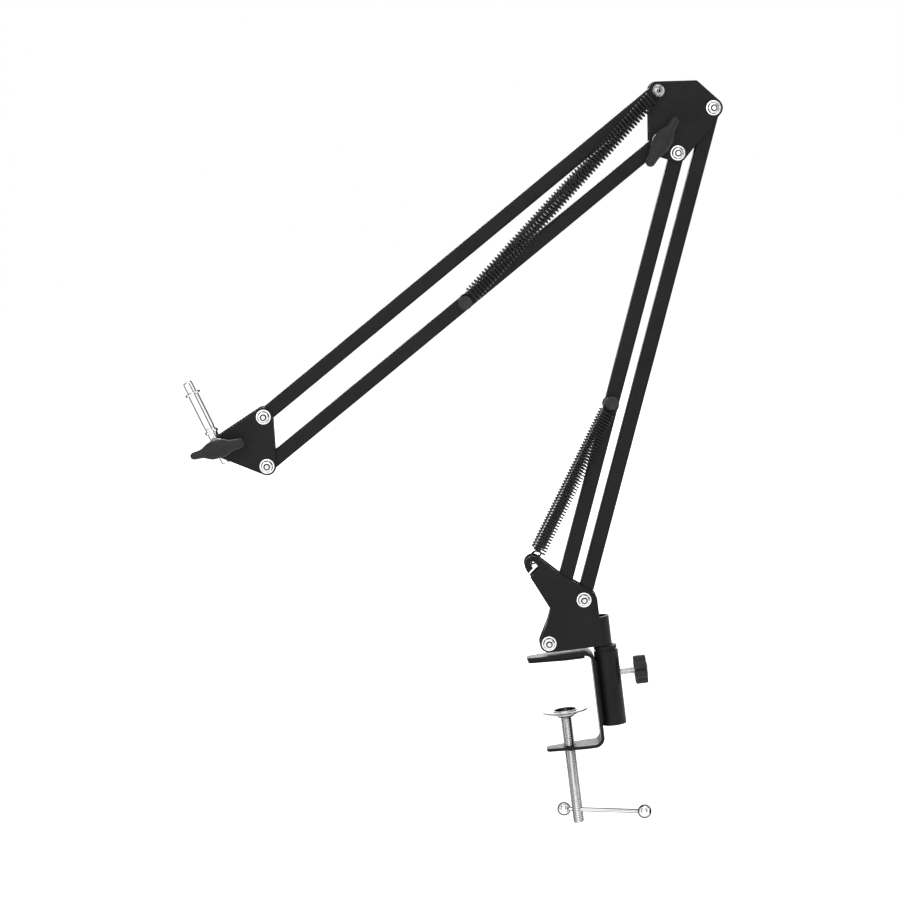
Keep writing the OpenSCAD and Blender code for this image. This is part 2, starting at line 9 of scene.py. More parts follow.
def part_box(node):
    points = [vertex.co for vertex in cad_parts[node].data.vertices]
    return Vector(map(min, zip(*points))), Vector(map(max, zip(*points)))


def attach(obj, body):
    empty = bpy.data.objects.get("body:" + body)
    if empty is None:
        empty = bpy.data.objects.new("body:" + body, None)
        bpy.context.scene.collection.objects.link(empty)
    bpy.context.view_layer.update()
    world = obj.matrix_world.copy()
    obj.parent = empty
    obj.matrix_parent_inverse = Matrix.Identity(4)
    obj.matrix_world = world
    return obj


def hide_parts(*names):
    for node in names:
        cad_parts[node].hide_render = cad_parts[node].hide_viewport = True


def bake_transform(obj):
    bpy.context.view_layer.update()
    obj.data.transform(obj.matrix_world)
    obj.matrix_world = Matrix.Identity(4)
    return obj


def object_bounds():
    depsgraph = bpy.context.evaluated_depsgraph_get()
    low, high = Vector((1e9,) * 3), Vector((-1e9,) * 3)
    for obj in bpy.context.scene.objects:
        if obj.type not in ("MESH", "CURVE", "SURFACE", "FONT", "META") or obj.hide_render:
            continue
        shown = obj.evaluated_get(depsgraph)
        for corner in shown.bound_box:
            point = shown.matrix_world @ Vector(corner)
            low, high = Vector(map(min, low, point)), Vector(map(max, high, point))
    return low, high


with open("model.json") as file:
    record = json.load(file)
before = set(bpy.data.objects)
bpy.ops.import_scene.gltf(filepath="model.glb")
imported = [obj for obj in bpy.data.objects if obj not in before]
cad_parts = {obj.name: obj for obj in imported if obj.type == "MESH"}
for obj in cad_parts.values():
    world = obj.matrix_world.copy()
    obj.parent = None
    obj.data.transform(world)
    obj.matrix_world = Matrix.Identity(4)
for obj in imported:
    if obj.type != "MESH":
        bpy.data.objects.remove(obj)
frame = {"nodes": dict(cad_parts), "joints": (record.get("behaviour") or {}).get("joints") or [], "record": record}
cad_low, cad_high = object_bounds()

# Lengths in this script are in millimetres, and become metres when a mesh is made.
MM = 0.001
FRONT = Vector((0, -1, 0))
BACK = Vector((0, 1, 0))
CROSSWISE = Vector((0, 1, 0))


# ---- places, read from the frame ----

def joint(name):
    return next(j for j in frame["joints"] if j["name"] == name)


def pivot(name):
    return Vector(joint(name)["pos_m"]) / MM


def box(node):
    low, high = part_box(node)
    return low / MM, high / MM


def centre(node):
    low, high = box(node)
    return (low + high) / 2


def flat(point, y=0.0):
    """A point moved to depth y."""
    return Vector((point[0], y, point[2]))


BASE_LOW = pivot("lower_tilt")
BASE_HIGH = pivot("lower_link_tilt")
ELBOW_LOW = pivot("elbow_level")
ELBOW_HIGH = ELBOW_LOW + BASE_HIGH - BASE_LOW
ELBOW_CLAMP = pivot("upper_tilt")
ELBOW_TOP = pivot("upper_link_tilt")
HEAD_LOW = pivot("head_level")
HEAD_HIGH = HEAD_LOW + ELBOW_TOP - ELBOW_CLAMP
HEAD_CLAMP = pivot("spigot_tilt")
LOWER_BOLT = flat(centre("lower_spring_eyes"))
UPPER_BOLT = flat(centre("upper_spring_eyes"))


# ---- materials ----

class Shader:
    """A Principled material with short calls for the procedural textures that feed it."""

    def __init__(self, name):
        self.material = bpy.data.materials.new(name)
        self.material.use_nodes = True
        self.nodes = self.material.node_tree.nodes
        self.links = self.material.node_tree.links
        self.bsdf = self.nodes["Principled BSDF"]
        self.coords = self.nodes.new("ShaderNodeTexCoord").outputs["Object"]
        self.height = None

    def put(self, socket, value):
        """Sets an input of a node to a number, a colour or another node's output."""
        if isinstance(value, bpy.types.NodeSocket):
            self.links.new(value, socket)
        elif isinstance(value, (tuple, list)):
            socket.default_value = (*value[:3], 1.0) if len(socket.default_value) == 4 else value
        else:
            socket.default_value = value

    def set(self, **inputs):
        for name, value in inputs.items():
            self.put(self.bsdf.inputs[name.replace("_", " ")], value)

    def noise(self, scale, detail=3.0, rough=0.5, coords=None, distortion=0.0):
        node = self.nodes.new("ShaderNodeTexNoise")
        self.put(node.inputs["Vector"], coords or self.coords)
        self.put(node.inputs["Scale"], scale)
        self.put(node.inputs["Detail"], detail)
        self.put(node.inputs["Roughness"], rough)
        self.put(node.inputs["Distortion"], distortion)
        return node.outputs["Fac"]

    def cells(self, scale, feature="F1"):
        node = self.nodes.new("ShaderNodeTexVoronoi")
        node.feature = feature
        self.put(node.inputs["Vector"], self.coords)
        self.put(node.inputs["Scale"], scale)
        return node.outputs["Distance"]

    def stretched(self, x, y, z):
        """Object coordinates scaled by axis, for grain that runs one way."""
        node = self.nodes.new("ShaderNodeMapping")
        self.put(node.inputs["Vector"], self.coords)
        node.inputs["Scale"].default_value = (x, y, z)
        return node.outputs["Vector"]

    def radius(self):
        """Distance from the object's own Z axis."""
        flat_node = self.nodes.new("ShaderNodeVectorMath")
        flat_node.operation = "MULTIPLY"
        self.put(flat_node.inputs[0], self.coords)
        flat_node.inputs[1].default_value = (1, 1, 0)
        length = self.nodes.new("ShaderNodeVectorMath")
        length.operation = "LENGTH"
        self.links.new(flat_node.outputs[0], length.inputs[0])
        return length.outputs["Value"]

    def grazing(self):
        """0 where the surface faces the viewer, rising to 1 at its outline."""
        return self.nodes.new("ShaderNodeLayerWeight").outputs["Facing"]

    def ring(self, inner, outer, soft=0.15):
        """1 between two radii in millimetres about the object's own Z axis, 0 elsewhere."""
        r = self.radius()
        rise = self.remap(r, (inner - soft) * MM, inner * MM, 0.0, 1.0)
        fall = self.remap(r, outer * MM, (outer + soft) * MM, 1.0, 0.0)
        return self.math("MULTIPLY", rise, fall)

    def math(self, operation, a, b=0.0):
        node = self.nodes.new("ShaderNodeMath")
        node.operation = operation
        self.put(node.inputs[0], a)
        self.put(node.inputs[1], b)
        return node.outputs[0]

    def remap(self, value, low, high, to_low, to_high):
        node = self.nodes.new("ShaderNodeMapRange")
        for name, given in zip(("Value", "From Min", "From Max", "To Min", "To Max"),
                               (value, low, high, to_low, to_high)):
            self.put(node.inputs[name], given)
        return node.outputs["Result"]

    def mix(self, factor, a, b):
        node = self.nodes.new("ShaderNodeMix")
        node.data_type = "RGBA"
        self.put(node.inputs["Factor"], factor)
        self.put(node.inputs["A"], a)
        self.put(node.inputs["B"], b)
        return node.outputs["Result"]

    def bump(self, height, depth, strength=1.0):
        """Adds a relief of a depth in millimetres on top of the ones before it."""
        node = self.nodes.new("ShaderNodeBump")
        self.put(node.inputs["Height"], height)
        node.inputs["Distance"].default_value = depth * MM
        node.inputs["Strength"].default_value = strength
        if self.height is not None:
            self.links.new(self.height, node.inputs["Normal"])
        self.height = node.outputs["Normal"]
        self.links.new(self.height, self.bsdf.inputs["Normal"])

    def edges(self, radius, flat_dot=0.97, edge_dot=0.80):
        """1 on outer edges sharper than the radius in millimetres, 0 on flats."""
        soft = self.nodes.new("ShaderNodeBevel")
        soft.samples = 4
        soft.inputs["Radius"].default_value = radius * MM
        geometry = self.nodes.new("ShaderNodeNewGeometry")
        dot = self.nodes.new("ShaderNodeVectorMath")
        dot.operation = "DOT_PRODUCT"
        self.links.new(soft.outputs["Normal"], dot.inputs[0])
        self.links.new(geometry.outputs["Normal"], dot.inputs[1])
        return self.remap(dot.outputs["Value"], flat_dot, edge_dot, 0.0, 1.0)


def shade(colour, factor):
    return tuple(min(1.0, c * factor) for c in colour[:3])


def powder_coat(name, colour):
    """Satin black powder coat: orange peel, fine grain, thin polish on handled edges."""
    s = Shader(name)
    cloud = s.noise(38, 4)
    base = s.mix(s.remap(cloud, 0.35, 0.65, 0, 1), shade(colour, 0.42), shade(colour, 0.66))
    rub = s.math("MULTIPLY", s.edges(0.5), s.remap(s.noise(420, 5, 0.65), 0.45, 0.7, 0.0, 0.55))
    s.set(Base_Color=s.mix(rub, base, shade(colour, 2.2)), Specular_IOR_Level=0.16)
    s.set(Roughness=s.remap(s.noise(90, 5), 0.3, 0.7, 0.34, 0.46))
    s.bump(s.noise(1500, 2, 0.4), 0.035, 0.5)
    s.bump(s.noise(6500, 2), 0.008, 0.5)
    return s.material


def black_oxide(name, colour):
    """Black oxide steel: thin oily sheen, brownish breaks in the colour."""
    s = Shader(name)
    patch = s.remap(s.noise(260, 5, 0.6), 0.4, 0.7, 0, 1)
    brown = (colour[0] * 1.9, colour[1] * 1.7, colour[2] * 1.6)
    s.set(Base_Color=s.mix(patch, colour, brown))
    s.set(Metallic=0.2, Specular_IOR_Level=0.25)
    s.set(Roughness=s.remap(s.noise(1200, 3), 0.3, 0.7, 0.34, 0.48))
    s.bump(s.noise(3800, 3), 0.010, 0.4)
    return s.material


def turned_zinc(name, colour, dark_ring=None):
    """Bright zinc plate with lathe rings about the piece's own axis, a faint yellow and blue cast, and,
    where dark_ring is given, a dark band between two radii: painted shade on washers and bolts, a dark centre on
    the anchor."""
    s = Shader(name)
    cast = s.remap(s.noise(170, 3), 0.35, 0.65, 0, 1)
    cool = (colour[0] * 0.98, colour[1], min(1, colour[2] * 1.03))
    warm = (colour[0] * 1.03, colour[1], colour[2] * 0.93)
    grime = s.remap(s.noise(650, 5, 0.65), 0.55, 0.8, 0.0, 0.35)
    plate = s.mix(grime, s.mix(cast, cool, warm), shade(colour, 0.45))
    # dark_ring darkens a band between two radii: painted shade round the nut on washers and round a bolt's end; a
    # dark centre on the anchor's dome.
    if dark_ring:
        plate = s.mix(s.ring(*dark_ring), plate, shade(colour, 0.07))
    s.set(Base_Color=plate, Metallic=1.0)
    rings = s.noise(1.0, 2, 0.6, coords=s.math("MULTIPLY", s.radius(), 9000))
    s.set(Roughness=s.remap(s.noise(900, 4), 0.3, 0.7, 0.17, 0.30))
    s.bump(rings, 0.012, 0.35)
    s.bump(s.noise(2600, 3), 0.006, 0.3)
    return s.material


def brushed_zinc(name, colour):
    """Zinc plate without turning marks, for posts and sleeves."""
    s = Shader(name)
    grime = s.remap(s.noise(420, 5, 0.6), 0.5, 0.8, 0.0, 0.3)
    s.set(Base_Color=s.mix(grime, colour, shade(colour, 0.5)), Metallic=1.0)
    s.set(Roughness=s.remap(s.noise(700, 4), 0.3, 0.7, 0.2, 0.34))
    s.bump(s.noise(1.0, 2, 0.6, coords=s.stretched(300, 300, 5200)), 0.010, 0.3)
    return s.material


def polished_chrome(name, colour, outline_shade_depth=0.94):
    """Chrome plate: nearly a mirror, with a painted dark reflection at its outline, slight waves, smears and pin
    marks.
    """
    s = Shader(name)
    smear = s.noise(140, 5, 0.6, distortion=1.5)
    plate = s.mix(s.remap(smear, 0.5, 0.75, 0, 0.3), colour, shade(colour, 0.7))
    # Painted dark reflection along the outline, where the surface turns away from the viewer.
    outline = s.remap(s.grazing(), 0.30, 0.52, 0.0, outline_shade_depth)
    s.set(Base_Color=s.mix(outline, plate, shade(colour, 0.06)), Specular_Tint=(0.08, 0.08, 0.08))
    s.set(Metallic=1.0, Roughness=s.remap(smear, 0.35, 0.7, 0.06, 0.16))
    s.bump(s.noise(330, 2), 0.012, 0.25)
    s.bump(s.cells(2500), 0.003, 0.2)
    return s.material


PAD_FLOOR_R = 5.0
PAD_CUP_R = 7.9
PAD_RIM_R = 15.2


def pressed_pad_plate(name, colour):
    """Dull plate on the dished pad: painted shade on the floor round the screw's end, bright cup wall, painted
    shade on the outer rim's edge.
    """
    s = Shader(name)
    smear = s.noise(210, 5, 0.6, distortion=0.8)
    plate = s.mix(s.remap(smear, 0.4, 0.7, 0, 1), shade(colour, 0.62), shade(colour, 0.42))
    # Painted shade on the outer rim's edge.
    plate = s.mix(s.ring(PAD_RIM_R, PAD_RIM_R + 1, 0.25), plate, shade(colour, 0.25))
    # Painted shade on the recess floor round the screw's end.
    plate = s.mix(s.ring(PAD_FLOOR_R, PAD_CUP_R, 0.4), plate, shade(colour, 0.08))
    s.set(Base_Color=plate, Metallic=1.0, Roughness=s.remap(smear, 0.35, 0.7, 0.26, 0.38))
    s.bump(s.noise(1.0, 2, 0.6, coords=s.math("MULTIPLY", s.radius(), 5200)), 0.010, 0.3)
    return s.material


def moulded_plastic(name, colour):
    """Black nylon moulding: spark textured, a little paler where fingers rub it."""
    s = Shader(name)
    rub = s.math("MULTIPLY", s.edges(0.8), s.remap(s.noise(300, 4, 0.6), 0.4, 0.7, 0.1, 0.5))
    base = s.mix(s.remap(s.noise(60, 3), 0.35, 0.65, 0, 1), shade(colour, 0.88), shade(colour, 1.12))
    s.set(Base_Color=s.mix(rub, base, shade(colour, 1.9)), Specular_IOR_Level=0.28)
    s.set(Roughness=s.remap(s.noise(240, 4), 0.3, 0.7, 0.46, 0.62))
    s.bump(s.noise(4200, 4, 0.7), 0.030, 0.55)
    s.bump(s.cells(1800), 0.012, 0.35)
    return s.material


def pad_rubber(name, colour):
    """Matt anti-slip rubber with a fine dimpled face."""
    s = Shader(name)
    dust = s.remap(s.noise(500, 6, 0.7), 0.5, 0.8, 0, 0.5)
    s.set(Base_Color=s.mix(dust, colour, shade(colour, 3.0)), Specular_IOR_Level=0.25)
    s.set(Roughness=s.remap(s.noise(300, 3), 0.3, 0.7, 0.75, 0.92))
    s.bump(s.cells(1100), 0.10, 0.6)
    return s.material


def natural_nylon(name, colour):
    """Milky nylon with light passing a little way in."""
    s = Shader(name)
    s.set(Base_Color=s.mix(s.noise(350, 3), shade(colour, 0.92), shade(colour, 1.05)))
    s.set(Roughness=0.45, Subsurface_Weight=0.25, Subsurface_Scale=0.0008)
    s.bump(s.noise(3000, 3), 0.010, 0.4)
    return s.material


FINISHES = {
    "black_steel": powder_coat,
    "jaw_rubber": pad_rubber,
    "zinc_steel": turned_zinc,
    "chrome": polished_chrome,
    "black_plastic": moulded_plastic,
    "nylon": natural_nylon,
    "spring_wire": black_oxide,
    "black_bolt": black_oxide,
}
COLOURS = {m["slot"]: tuple(m["base_color"][:3]) for m in frame["record"]["materials"]}
MATERIALS = {slot: make(slot, COLOURS[slot]) for slot, make in FINISHES.items()}
PLAIN_ZINC = brushed_zinc("zinc_steel_plain", COLOURS["zinc_steel"])
THREAD_CHROME = polished_chrome("chrome_thread", COLOURS["chrome"], outline_shade_depth=0.5)
# The washers' dark ring is painted shade round the foot of the nut.
WASHER_ZINC_PAINTED_SHADE = turned_zinc("zinc_steel_washer", (0.9, 0.9, 0.9), dark_ring=(3.3, 4.15))
# The bolts' dark ring is painted shade on the thread and broken end, round the bright end face.
BOLT_ZINC_PAINTED_SHADE = turned_zinc("zinc_steel_bolt", COLOURS["zinc_steel"], dark_ring=(1.45, 2.0))
ANCHOR_ZINC = turned_zinc("zinc_steel_anchor", shade(COLOURS["zinc_steel"], 0.5), dark_ring=(0.4, 1.1))
PAD_PLATE = pressed_pad_plate("chrome_pad", COLOURS["chrome"])


# ---- meshes ----

def new_object(name, points, faces, sharp=38):
    """An object from points in millimetres, with smooth faces that break at edges above an angle."""
    mesh = bpy.data.meshes.new(name)
    mesh.from_pydata([tuple(c * MM for c in p) for p in points], [], faces)
    tidy = bmesh.new()
    tidy.from_mesh(mesh)
    bmesh.ops.recalc_face_normals(tidy, faces=tidy.faces)
    tidy.to_mesh(mesh)
    tidy.free()
    mesh.shade_smooth()
    mesh.set_sharp_from_angle(angle=math.radians(sharp))
    obj = bpy.data.objects.new(name, mesh)
    bpy.context.scene.collection.objects.link(obj)
    return obj


def bridge(lower, upper):
    """Faces between two rings of point numbers; a ring of one point is a pole."""
    count = max(len(lower), len(upper))
    if count == 1:
        return []
    faces = []
    for i in range(count):
        j = (i + 1) % count
        corners = [lower[i % len(lower)], lower[j % len(lower)], upper[j % len(upper)], upper[i % len(upper)]]
        faces.append(list(dict.fromkeys(corners)))
    return faces


def turned(name, profile, segments=72, shape=None, closed=False, sharp=38):
    """A profile of (radius, height) turned about Z. shape(angle, radius, height) may change the radius."""
    points, rings = [], []
    for radius, height in profile:
        ring = []
        for i in range(segments if radius > 0 else 1):
            angle = math.tau * i / segments
            r = shape(angle, radius, height) if shape else radius
            ring.append(len(points))
            points.append((r * math.cos(angle), r * math.sin(angle), height))
        rings.append(ring)
    faces = []
    for lower, upper in zip(rings, rings[1:]):
        faces += bridge(lower, upper)
    if closed:
        faces += bridge(rings[-1], rings[0])
    return new_object(name, points, faces, sharp)


def arc(middle, radius, start, end, steps=6):
    """Profile points on an arc, angles in degrees from the outward direction."""
    turns = [math.radians(start + (end - start) * i / steps) for i in range(steps + 1)]
    return [(middle[0] + radius * math.cos(t), middle[1] + radius * math.sin(t)) for t in turns]


def aim(obj, origin, direction, roll=0.0):
    """Stands an object on origin with its own Z along direction."""
    turn = Vector(direction).to_track_quat("Z", "Y").to_matrix().to_4x4()
    obj.matrix_world = Matrix.Translation(Vector(origin) * MM) @ turn @ Matrix.Rotation(roll, 4, "Z")
    return obj


def bake(obj):
    """Applies an object's modifiers."""
    bpy.context.view_layer.update()
    evaluated = obj.evaluated_get(bpy.context.evaluated_depsgraph_get())
    mesh = bpy.data.meshes.new_from_object(evaluated)
    obj.modifiers.clear()
    obj.data = mesh
    return obj


def combine(obj, other, operation):
    """Joins or cuts with another closed object, which is then removed."""
    step = obj.modifiers.new("combine", "BOOLEAN")
    step.operation = operation
    step.object = other
    step.solver = "EXACT"
    bake(obj)
    bpy.data.objects.remove(other)
    obj.data.shade_smooth()
    obj.data.set_sharp_from_angle(angle=math.radians(38))
    return obj


def rod(name, radius, length, segments=48):
    half = length / 2
    return turned(name, [(0, -half), (radius, -half), (radius, half), (0, half)], segments)


def drill(obj, place, direction, radius, length):
    return combine(obj, aim(rod("drill", radius, length), place, direction), "DIFFERENCE")


def finish(obj, body, slot, *stands_for, material=None):
    """Gives a piece its material and its body."""
    obj.data.materials.clear()
    obj.data.materials.append(material or MATERIALS[slot])
    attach(obj, body)
    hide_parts(*stands_for)
    return obj


# ---- CAD nodes that stay ----

SLOTS = {part["node"]: part["material_slot"] for part in frame["record"]["subparts"]}
PLATES = ("base_bracket", "elbow_plate_front", "elbow_plate_back", "head_plate_front", "head_plate_back")
PLATE_EDGE = 0.3
SMALL_PART_EDGE = 0.1
EDGE_WIDTHS = {"clamp_frame": 0.5, "post_socket": 0.4, "swivel_post": 0.35, "clamp_pad": 0.22,
               "jaw_pad": 0.2, "tommy_bar": 0.3}
EDGE_WIDTHS.update({node: PLATE_EDGE for node in PLATES})
OWN_MATERIALS = {"clamp_pad": PAD_PLATE}
WELD_REACH = 0.002


def dress(node, width):
    """Paints a CAD node and breaks its sharp edges without touching its mesh."""
    obj = frame["nodes"][node]
    slot = SLOTS[node]
    usual = PLAIN_ZINC if slot == "zinc_steel" else MATERIALS[slot]
    material = OWN_MATERIALS.get(node, usual)
    if not obj.material_slots:
        obj.data.materials.append(material)
    for holder in obj.material_slots:
        holder.material = material
    weld = obj.modifiers.new("weld", "WELD")
    weld.merge_threshold = WELD_REACH * MM
    flats = obj.modifiers.new("whole_flats", "DECIMATE")
    flats.decimate_type = "DISSOLVE"
    flats.angle_limit = math.radians(0.5)
    bevel = obj.modifiers.new("broken_edges", "BEVEL")
    bevel.width = width * MM
    bevel.segments = 3
    bevel.limit_method = "ANGLE"
    bevel.angle_limit = math.radians(32)
    bevel.use_clamp_overlap = True
    bevel.loop_slide = False
    obj.modifiers.new("even_normals", "WEIGHTED_NORMAL").weight = 80


for node_name in SLOTS:
    dress(node_name, EDGE_WIDTHS.get(node_name, SMALL_PART_EDGE))


# ---- arm tubes ----

TUBE_CORNER = 1.3
TUBE_CORNER_STEPS = 5
TUBE_WALL = 1.0
TUBE_INNER_CORNER = 0.4
TUBE_END_BREAK = 0.2


def rounded_square(side, radius, steps):
    """Corner by corner points of a square with round corners, anticlockwise about Z."""
    half = side / 2 - radius
    points = []
    for quarter in range(4):
        middle = Matrix.Rotation(math.pi / 2 * quarter, 2) @ Vector((half, half))
        for i in range(steps + 1):
            angle = math.pi / 2 * (quarter + i / steps)
            points.append((middle.x + radius * math.cos(angle), middle.y + radius * math.sin(angle)))
    return points


def square_tube(name, start, end, past, side, bores):
    """A hollow square tube from start to end and a little past both, with cross bores [(point, radius)]."""
    length = (end - start).length + 2 * past
    layers = []
    for height, shrink in ((0, TUBE_END_BREAK), (TUBE_END_BREAK, 0), (length - TUBE_END_BREAK, 0),
                           (length, TUBE_END_BREAK)):
        layers.append([(x, y, height) for x, y in
                       rounded_square(side - 2 * shrink, TUBE_CORNER - shrink / 2, TUBE_CORNER_STEPS)])
    inner = rounded_square(side - 2 * TUBE_WALL, TUBE_INNER_CORNER, TUBE_CORNER_STEPS)
    for height in (length, 0):
        layers.append([(x, y, height) for x, y in inner])
    count = len(layers[0])
    rings = [list(range(count * k, count * (k + 1))) for k in range(len(layers))]
    faces = []
    for k, ring in enumerate(rings):
        faces += bridge(ring, rings[(k + 1) % len(rings)])
    tube = new_object(name, [p for layer in layers for p in layer], faces, 25)
    along = (end - start).normalized()
    basis = Matrix((CROSSWISE.cross(along), CROSSWISE, along)).transposed().to_4x4()
    tube.matrix_world = Matrix.Translation((start - along * past) * MM) @ basis
    for place, radius in bores:
        drill(tube, place, CROSSWISE, radius, 2 * side)
    return tube


TUBE_SIDE = box("lower_arm_tube")[1].y - box("lower_arm_tube")[0].y
TUBE_PAST = 4.2
SLEEVE_BORE = 3.05
CLAMP_BORE = 2.55
SPRING_BORE = 2.05
TUBES = {
    "lower_arm_tube": ("lower_arm", BASE_LOW, ELBOW_LOW, SLEEVE_BORE, SLEEVE_BORE, LOWER_BOLT),
    "lower_link_tube": ("lower_link", BASE_HIGH, ELBOW_HIGH, SLEEVE_BORE, SLEEVE_BORE, None),
    "upper_arm_tube": ("upper_arm", ELBOW_CLAMP, HEAD_LOW, CLAMP_BORE, SLEEVE_BORE, UPPER_BOLT),
    "upper_link_tube": ("upper_link", ELBOW_TOP, HEAD_HIGH, SLEEVE_BORE, SLEEVE_BORE, None),
}
for node_name, (body, start, end, bore_a, bore_b, spring_at) in TUBES.items():
    bores = [(start, bore_a), (end, bore_b)] + ([(spring_at, SPRING_BORE)] if spring_at else [])
    tube = square_tube(node_name.replace("_tube", "_square_tube"), start, end, TUBE_PAST, TUBE_SIDE, bores)
    finish(tube, body, "black_steel", node_name)


# ---- pivot bolts, nuts and washers ----

NUT_FLATS = 7.0
BOLT_R = 2.0
THREAD_PITCH = 0.7
CHAMFER_STEPS = 5
WASHER_R = 5.1
CLAMP_WASHER_R = 6.0
CLAMP_BOLT_R = 2.5
WASHER_T = 1.0
WASHER_SOFT = 0.18
HOLE_ROOM = 0.1
CHAMFER_IN = 0.97
CHAMFER_ANGLE = math.radians(30)
THREAD_SLOPE = 1.3
THREAD_CREST = 0.15
BOLT_THREAD_DEPTH = 0.32
NUT_LEAD = 0.3
HEAD_DISH_R = 1.6
HEAD_DISH_RIM_R = 2.0
HEAD_DISH_DEPTH = 0.25
FIRST_ROLL = 23
ROLL_STEP = 41
ROLL_PER_LETTER = 17
BOLT_ROLL_RATIO = 1.7
CENTRE_MARK_R = 0.5
CENTRE_MARK_FLOOR_R = 0.3
CENTRE_MARK_DEPTH = 0.25
CENTRE_MARK_POINT = 0.32
WASHER_OUTER = box("elbow_washers")[1].y
WASHER_INNER = WASHER_OUTER - WASHER_T
NUT_FACE = -box("elbow_nuts")[0].y
BOLT_HEAD = box("elbow_bolts")[1].y
BOLT_END = -box("elbow_bolts")[0].y


def hexagon(flats, angle):
    """Radius of a hexagon at an angle."""
    return flats / 2 / math.cos((angle + math.pi / 6) % (math.pi / 3) - math.pi / 6)


def thread(radius, pitch, angle, height, depth):
    """Radius of a V thread with a narrow crest and root."""
    phase = (height / pitch - angle / math.tau) % 1.0
    return radius - depth * min(1.0, max(0.0, THREAD_SLOPE * abs(2 * phase - 1) - THREAD_CREST))


def chamfered(flats, low, high, cut_low, cut_high):
    """The outside of a hexagon's profile, cut by a cone at one end or both."""
    corner = flats / math.sqrt(3)
    inside = flats / 2 * CHAMFER_IN
    drop = (corner - inside) * math.tan(CHAMFER_ANGLE)
    steps = [i / CHAMFER_STEPS for i in range(CHAMFER_STEPS + 1)]
    rise = [(inside + (corner - inside) * s, low + drop * s) for s in steps] if cut_low else [(corner, low)]
    fall = [(inside + (corner - inside) * (1 - s), high - drop * (1 - s)) for s in steps]
    return rise + (fall if cut_high else [(corner, high)])


def hex_nut(name, flats, thickness, bore):
    profile = chamfered(flats, 0, thickness, True, True)
    profile += [(bore + NUT_LEAD, thickness), (bore, thickness - NUT_LEAD), (bore, NUT_LEAD),
                (bore + NUT_LEAD, 0)]
    return turned(name, profile, 72, lambda a, r, h: min(r, hexagon(flats, a)), closed=True)


def washer(name, radius, bore, thickness):
    soft = WASHER_SOFT
    profile = [(bore, soft), (bore + soft, 0), (radius - soft, 0)]
    profile += arc((radius - soft, soft), soft, -60, 0, 3)
    profile += arc((radius - soft, thickness - soft), soft, 0, 60, 3)
    profile += [(radius - soft, thickness), (bore + soft, thickness), (bore, thickness - soft)]
    return turned(name, profile, 72, closed=True, sharp=60)


def threaded_end(radius, pitch, low, high, break_end=0.35, rows_each=8):
    """Profile rows up a thread, with a broken end and a centre mark in the end face."""
    rows = int((high - break_end - low) / pitch * rows_each)
    profile = [(radius, low + (high - break_end - low) * i / rows) for i in range(rows + 1)]
    return profile + [(radius - break_end, high), (CENTRE_MARK_R, high),
                      (CENTRE_MARK_FLOOR_R, high - CENTRE_MARK_DEPTH), (0, high - CENTRE_MARK_POINT)]


def pivot_bolt(name):
    """A hexagon head bolt along Z: its head's face at -BOLT_HEAD, its threaded end at BOLT_END."""
    head_seat = -WASHER_OUTER
    head = chamfered(NUT_FLATS, -BOLT_HEAD, head_seat, True, False)
    dish = -BOLT_HEAD + HEAD_DISH_DEPTH
    profile = [(0, dish), (HEAD_DISH_R, dish), (HEAD_DISH_RIM_R, -BOLT_HEAD)] + head
    profile += [(BOLT_R, head_seat)] + threaded_end(BOLT_R, THREAD_PITCH, WASHER_INNER, BOLT_END)

    def shape(angle, radius, height):
        if height <= head_seat and radius > BOLT_R:
            return min(radius, hexagon(NUT_FLATS, angle))
        if WASHER_OUTER < height < BOLT_END - 0.1 and radius > 1:
            return min(radius, thread(BOLT_R, THREAD_PITCH, angle, height, BOLT_THREAD_DEPTH))
        return radius

    return turned(name, profile, 72, shape)


def washer_pair(name, body, place, radius, bore, node):
    for side, face in (("front", FRONT), ("back", BACK)):
        ring = washer(f"{name}_{side}", radius, bore, WASHER_OUTER - WASHER_INNER)
        finish(aim(ring, place + face * WASHER_INNER, face), body, "zinc_steel", node, material=WASHER_ZINC_PAINTED_SHADE)


def pivot_set(body, part, places):
    """Bolt, nut and washers at each named pivot of a body, no two hexagons turned alike."""
    for index, (name, place) in enumerate(places.items()):
        roll = math.radians(FIRST_ROLL + ROLL_STEP * index + ROLL_PER_LETTER * len(part))
        bolt = aim(pivot_bolt(f"{part}_bolt_{name}"), place, FRONT, roll * BOLT_ROLL_RATIO)
        finish(bolt, body, "zinc_steel", f"{part}_bolts", material=BOLT_ZINC_PAINTED_SHADE)
        nut = hex_nut(f"{part}_nut_{name}", NUT_FLATS, NUT_FACE - WASHER_OUTER, BOLT_R + 0.05)
        finish(aim(nut, place + FRONT * WASHER_OUTER, FRONT, roll), body, "zinc_steel", f"{part}_nuts")
        washer_pair(f"{part}_washer_{name}", body, place, WASHER_R, BOLT_R + HOLE_ROOM, f"{part}_washers")


pivot_set("swivel", "base", {"low": BASE_LOW, "high": BASE_HIGH})
pivot_set("elbow", "elbow", {"low": ELBOW_LOW, "high": ELBOW_HIGH})
pivot_set("head", "head", {"low": HEAD_LOW, "high": HEAD_HIGH})


# ---- clamp bolts and the spring anchor ----

DOME_RIM_SHARE = 0.45


def domed_bolt(name, seat, dome, shank_r, head_r, end):
    """A round domed head from seat up to dome, and a shank down to end, all along Z."""
    rim = DOME_RIM_SHARE * (dome - seat)
    rise = dome - seat - rim
    ball = (head_r ** 2 + rise ** 2) / (2 * rise)
    spread = math.degrees(math.asin(min(1.0, (head_r - 0.3) / ball)))
    cap = arc((0, dome - ball), ball, 90 - spread, 90, 10)[:-1]
    profile = [(0, end), (shank_r - 0.4, end), (shank_r, end + 0.4), (shank_r, seat), (head_r - 0.2, seat)]
    profile += [(head_r, seat + 0.25), (head_r, seat + rim)] + cap + [(0, dome)]
    return turned(name, profile, 72, sharp=50)


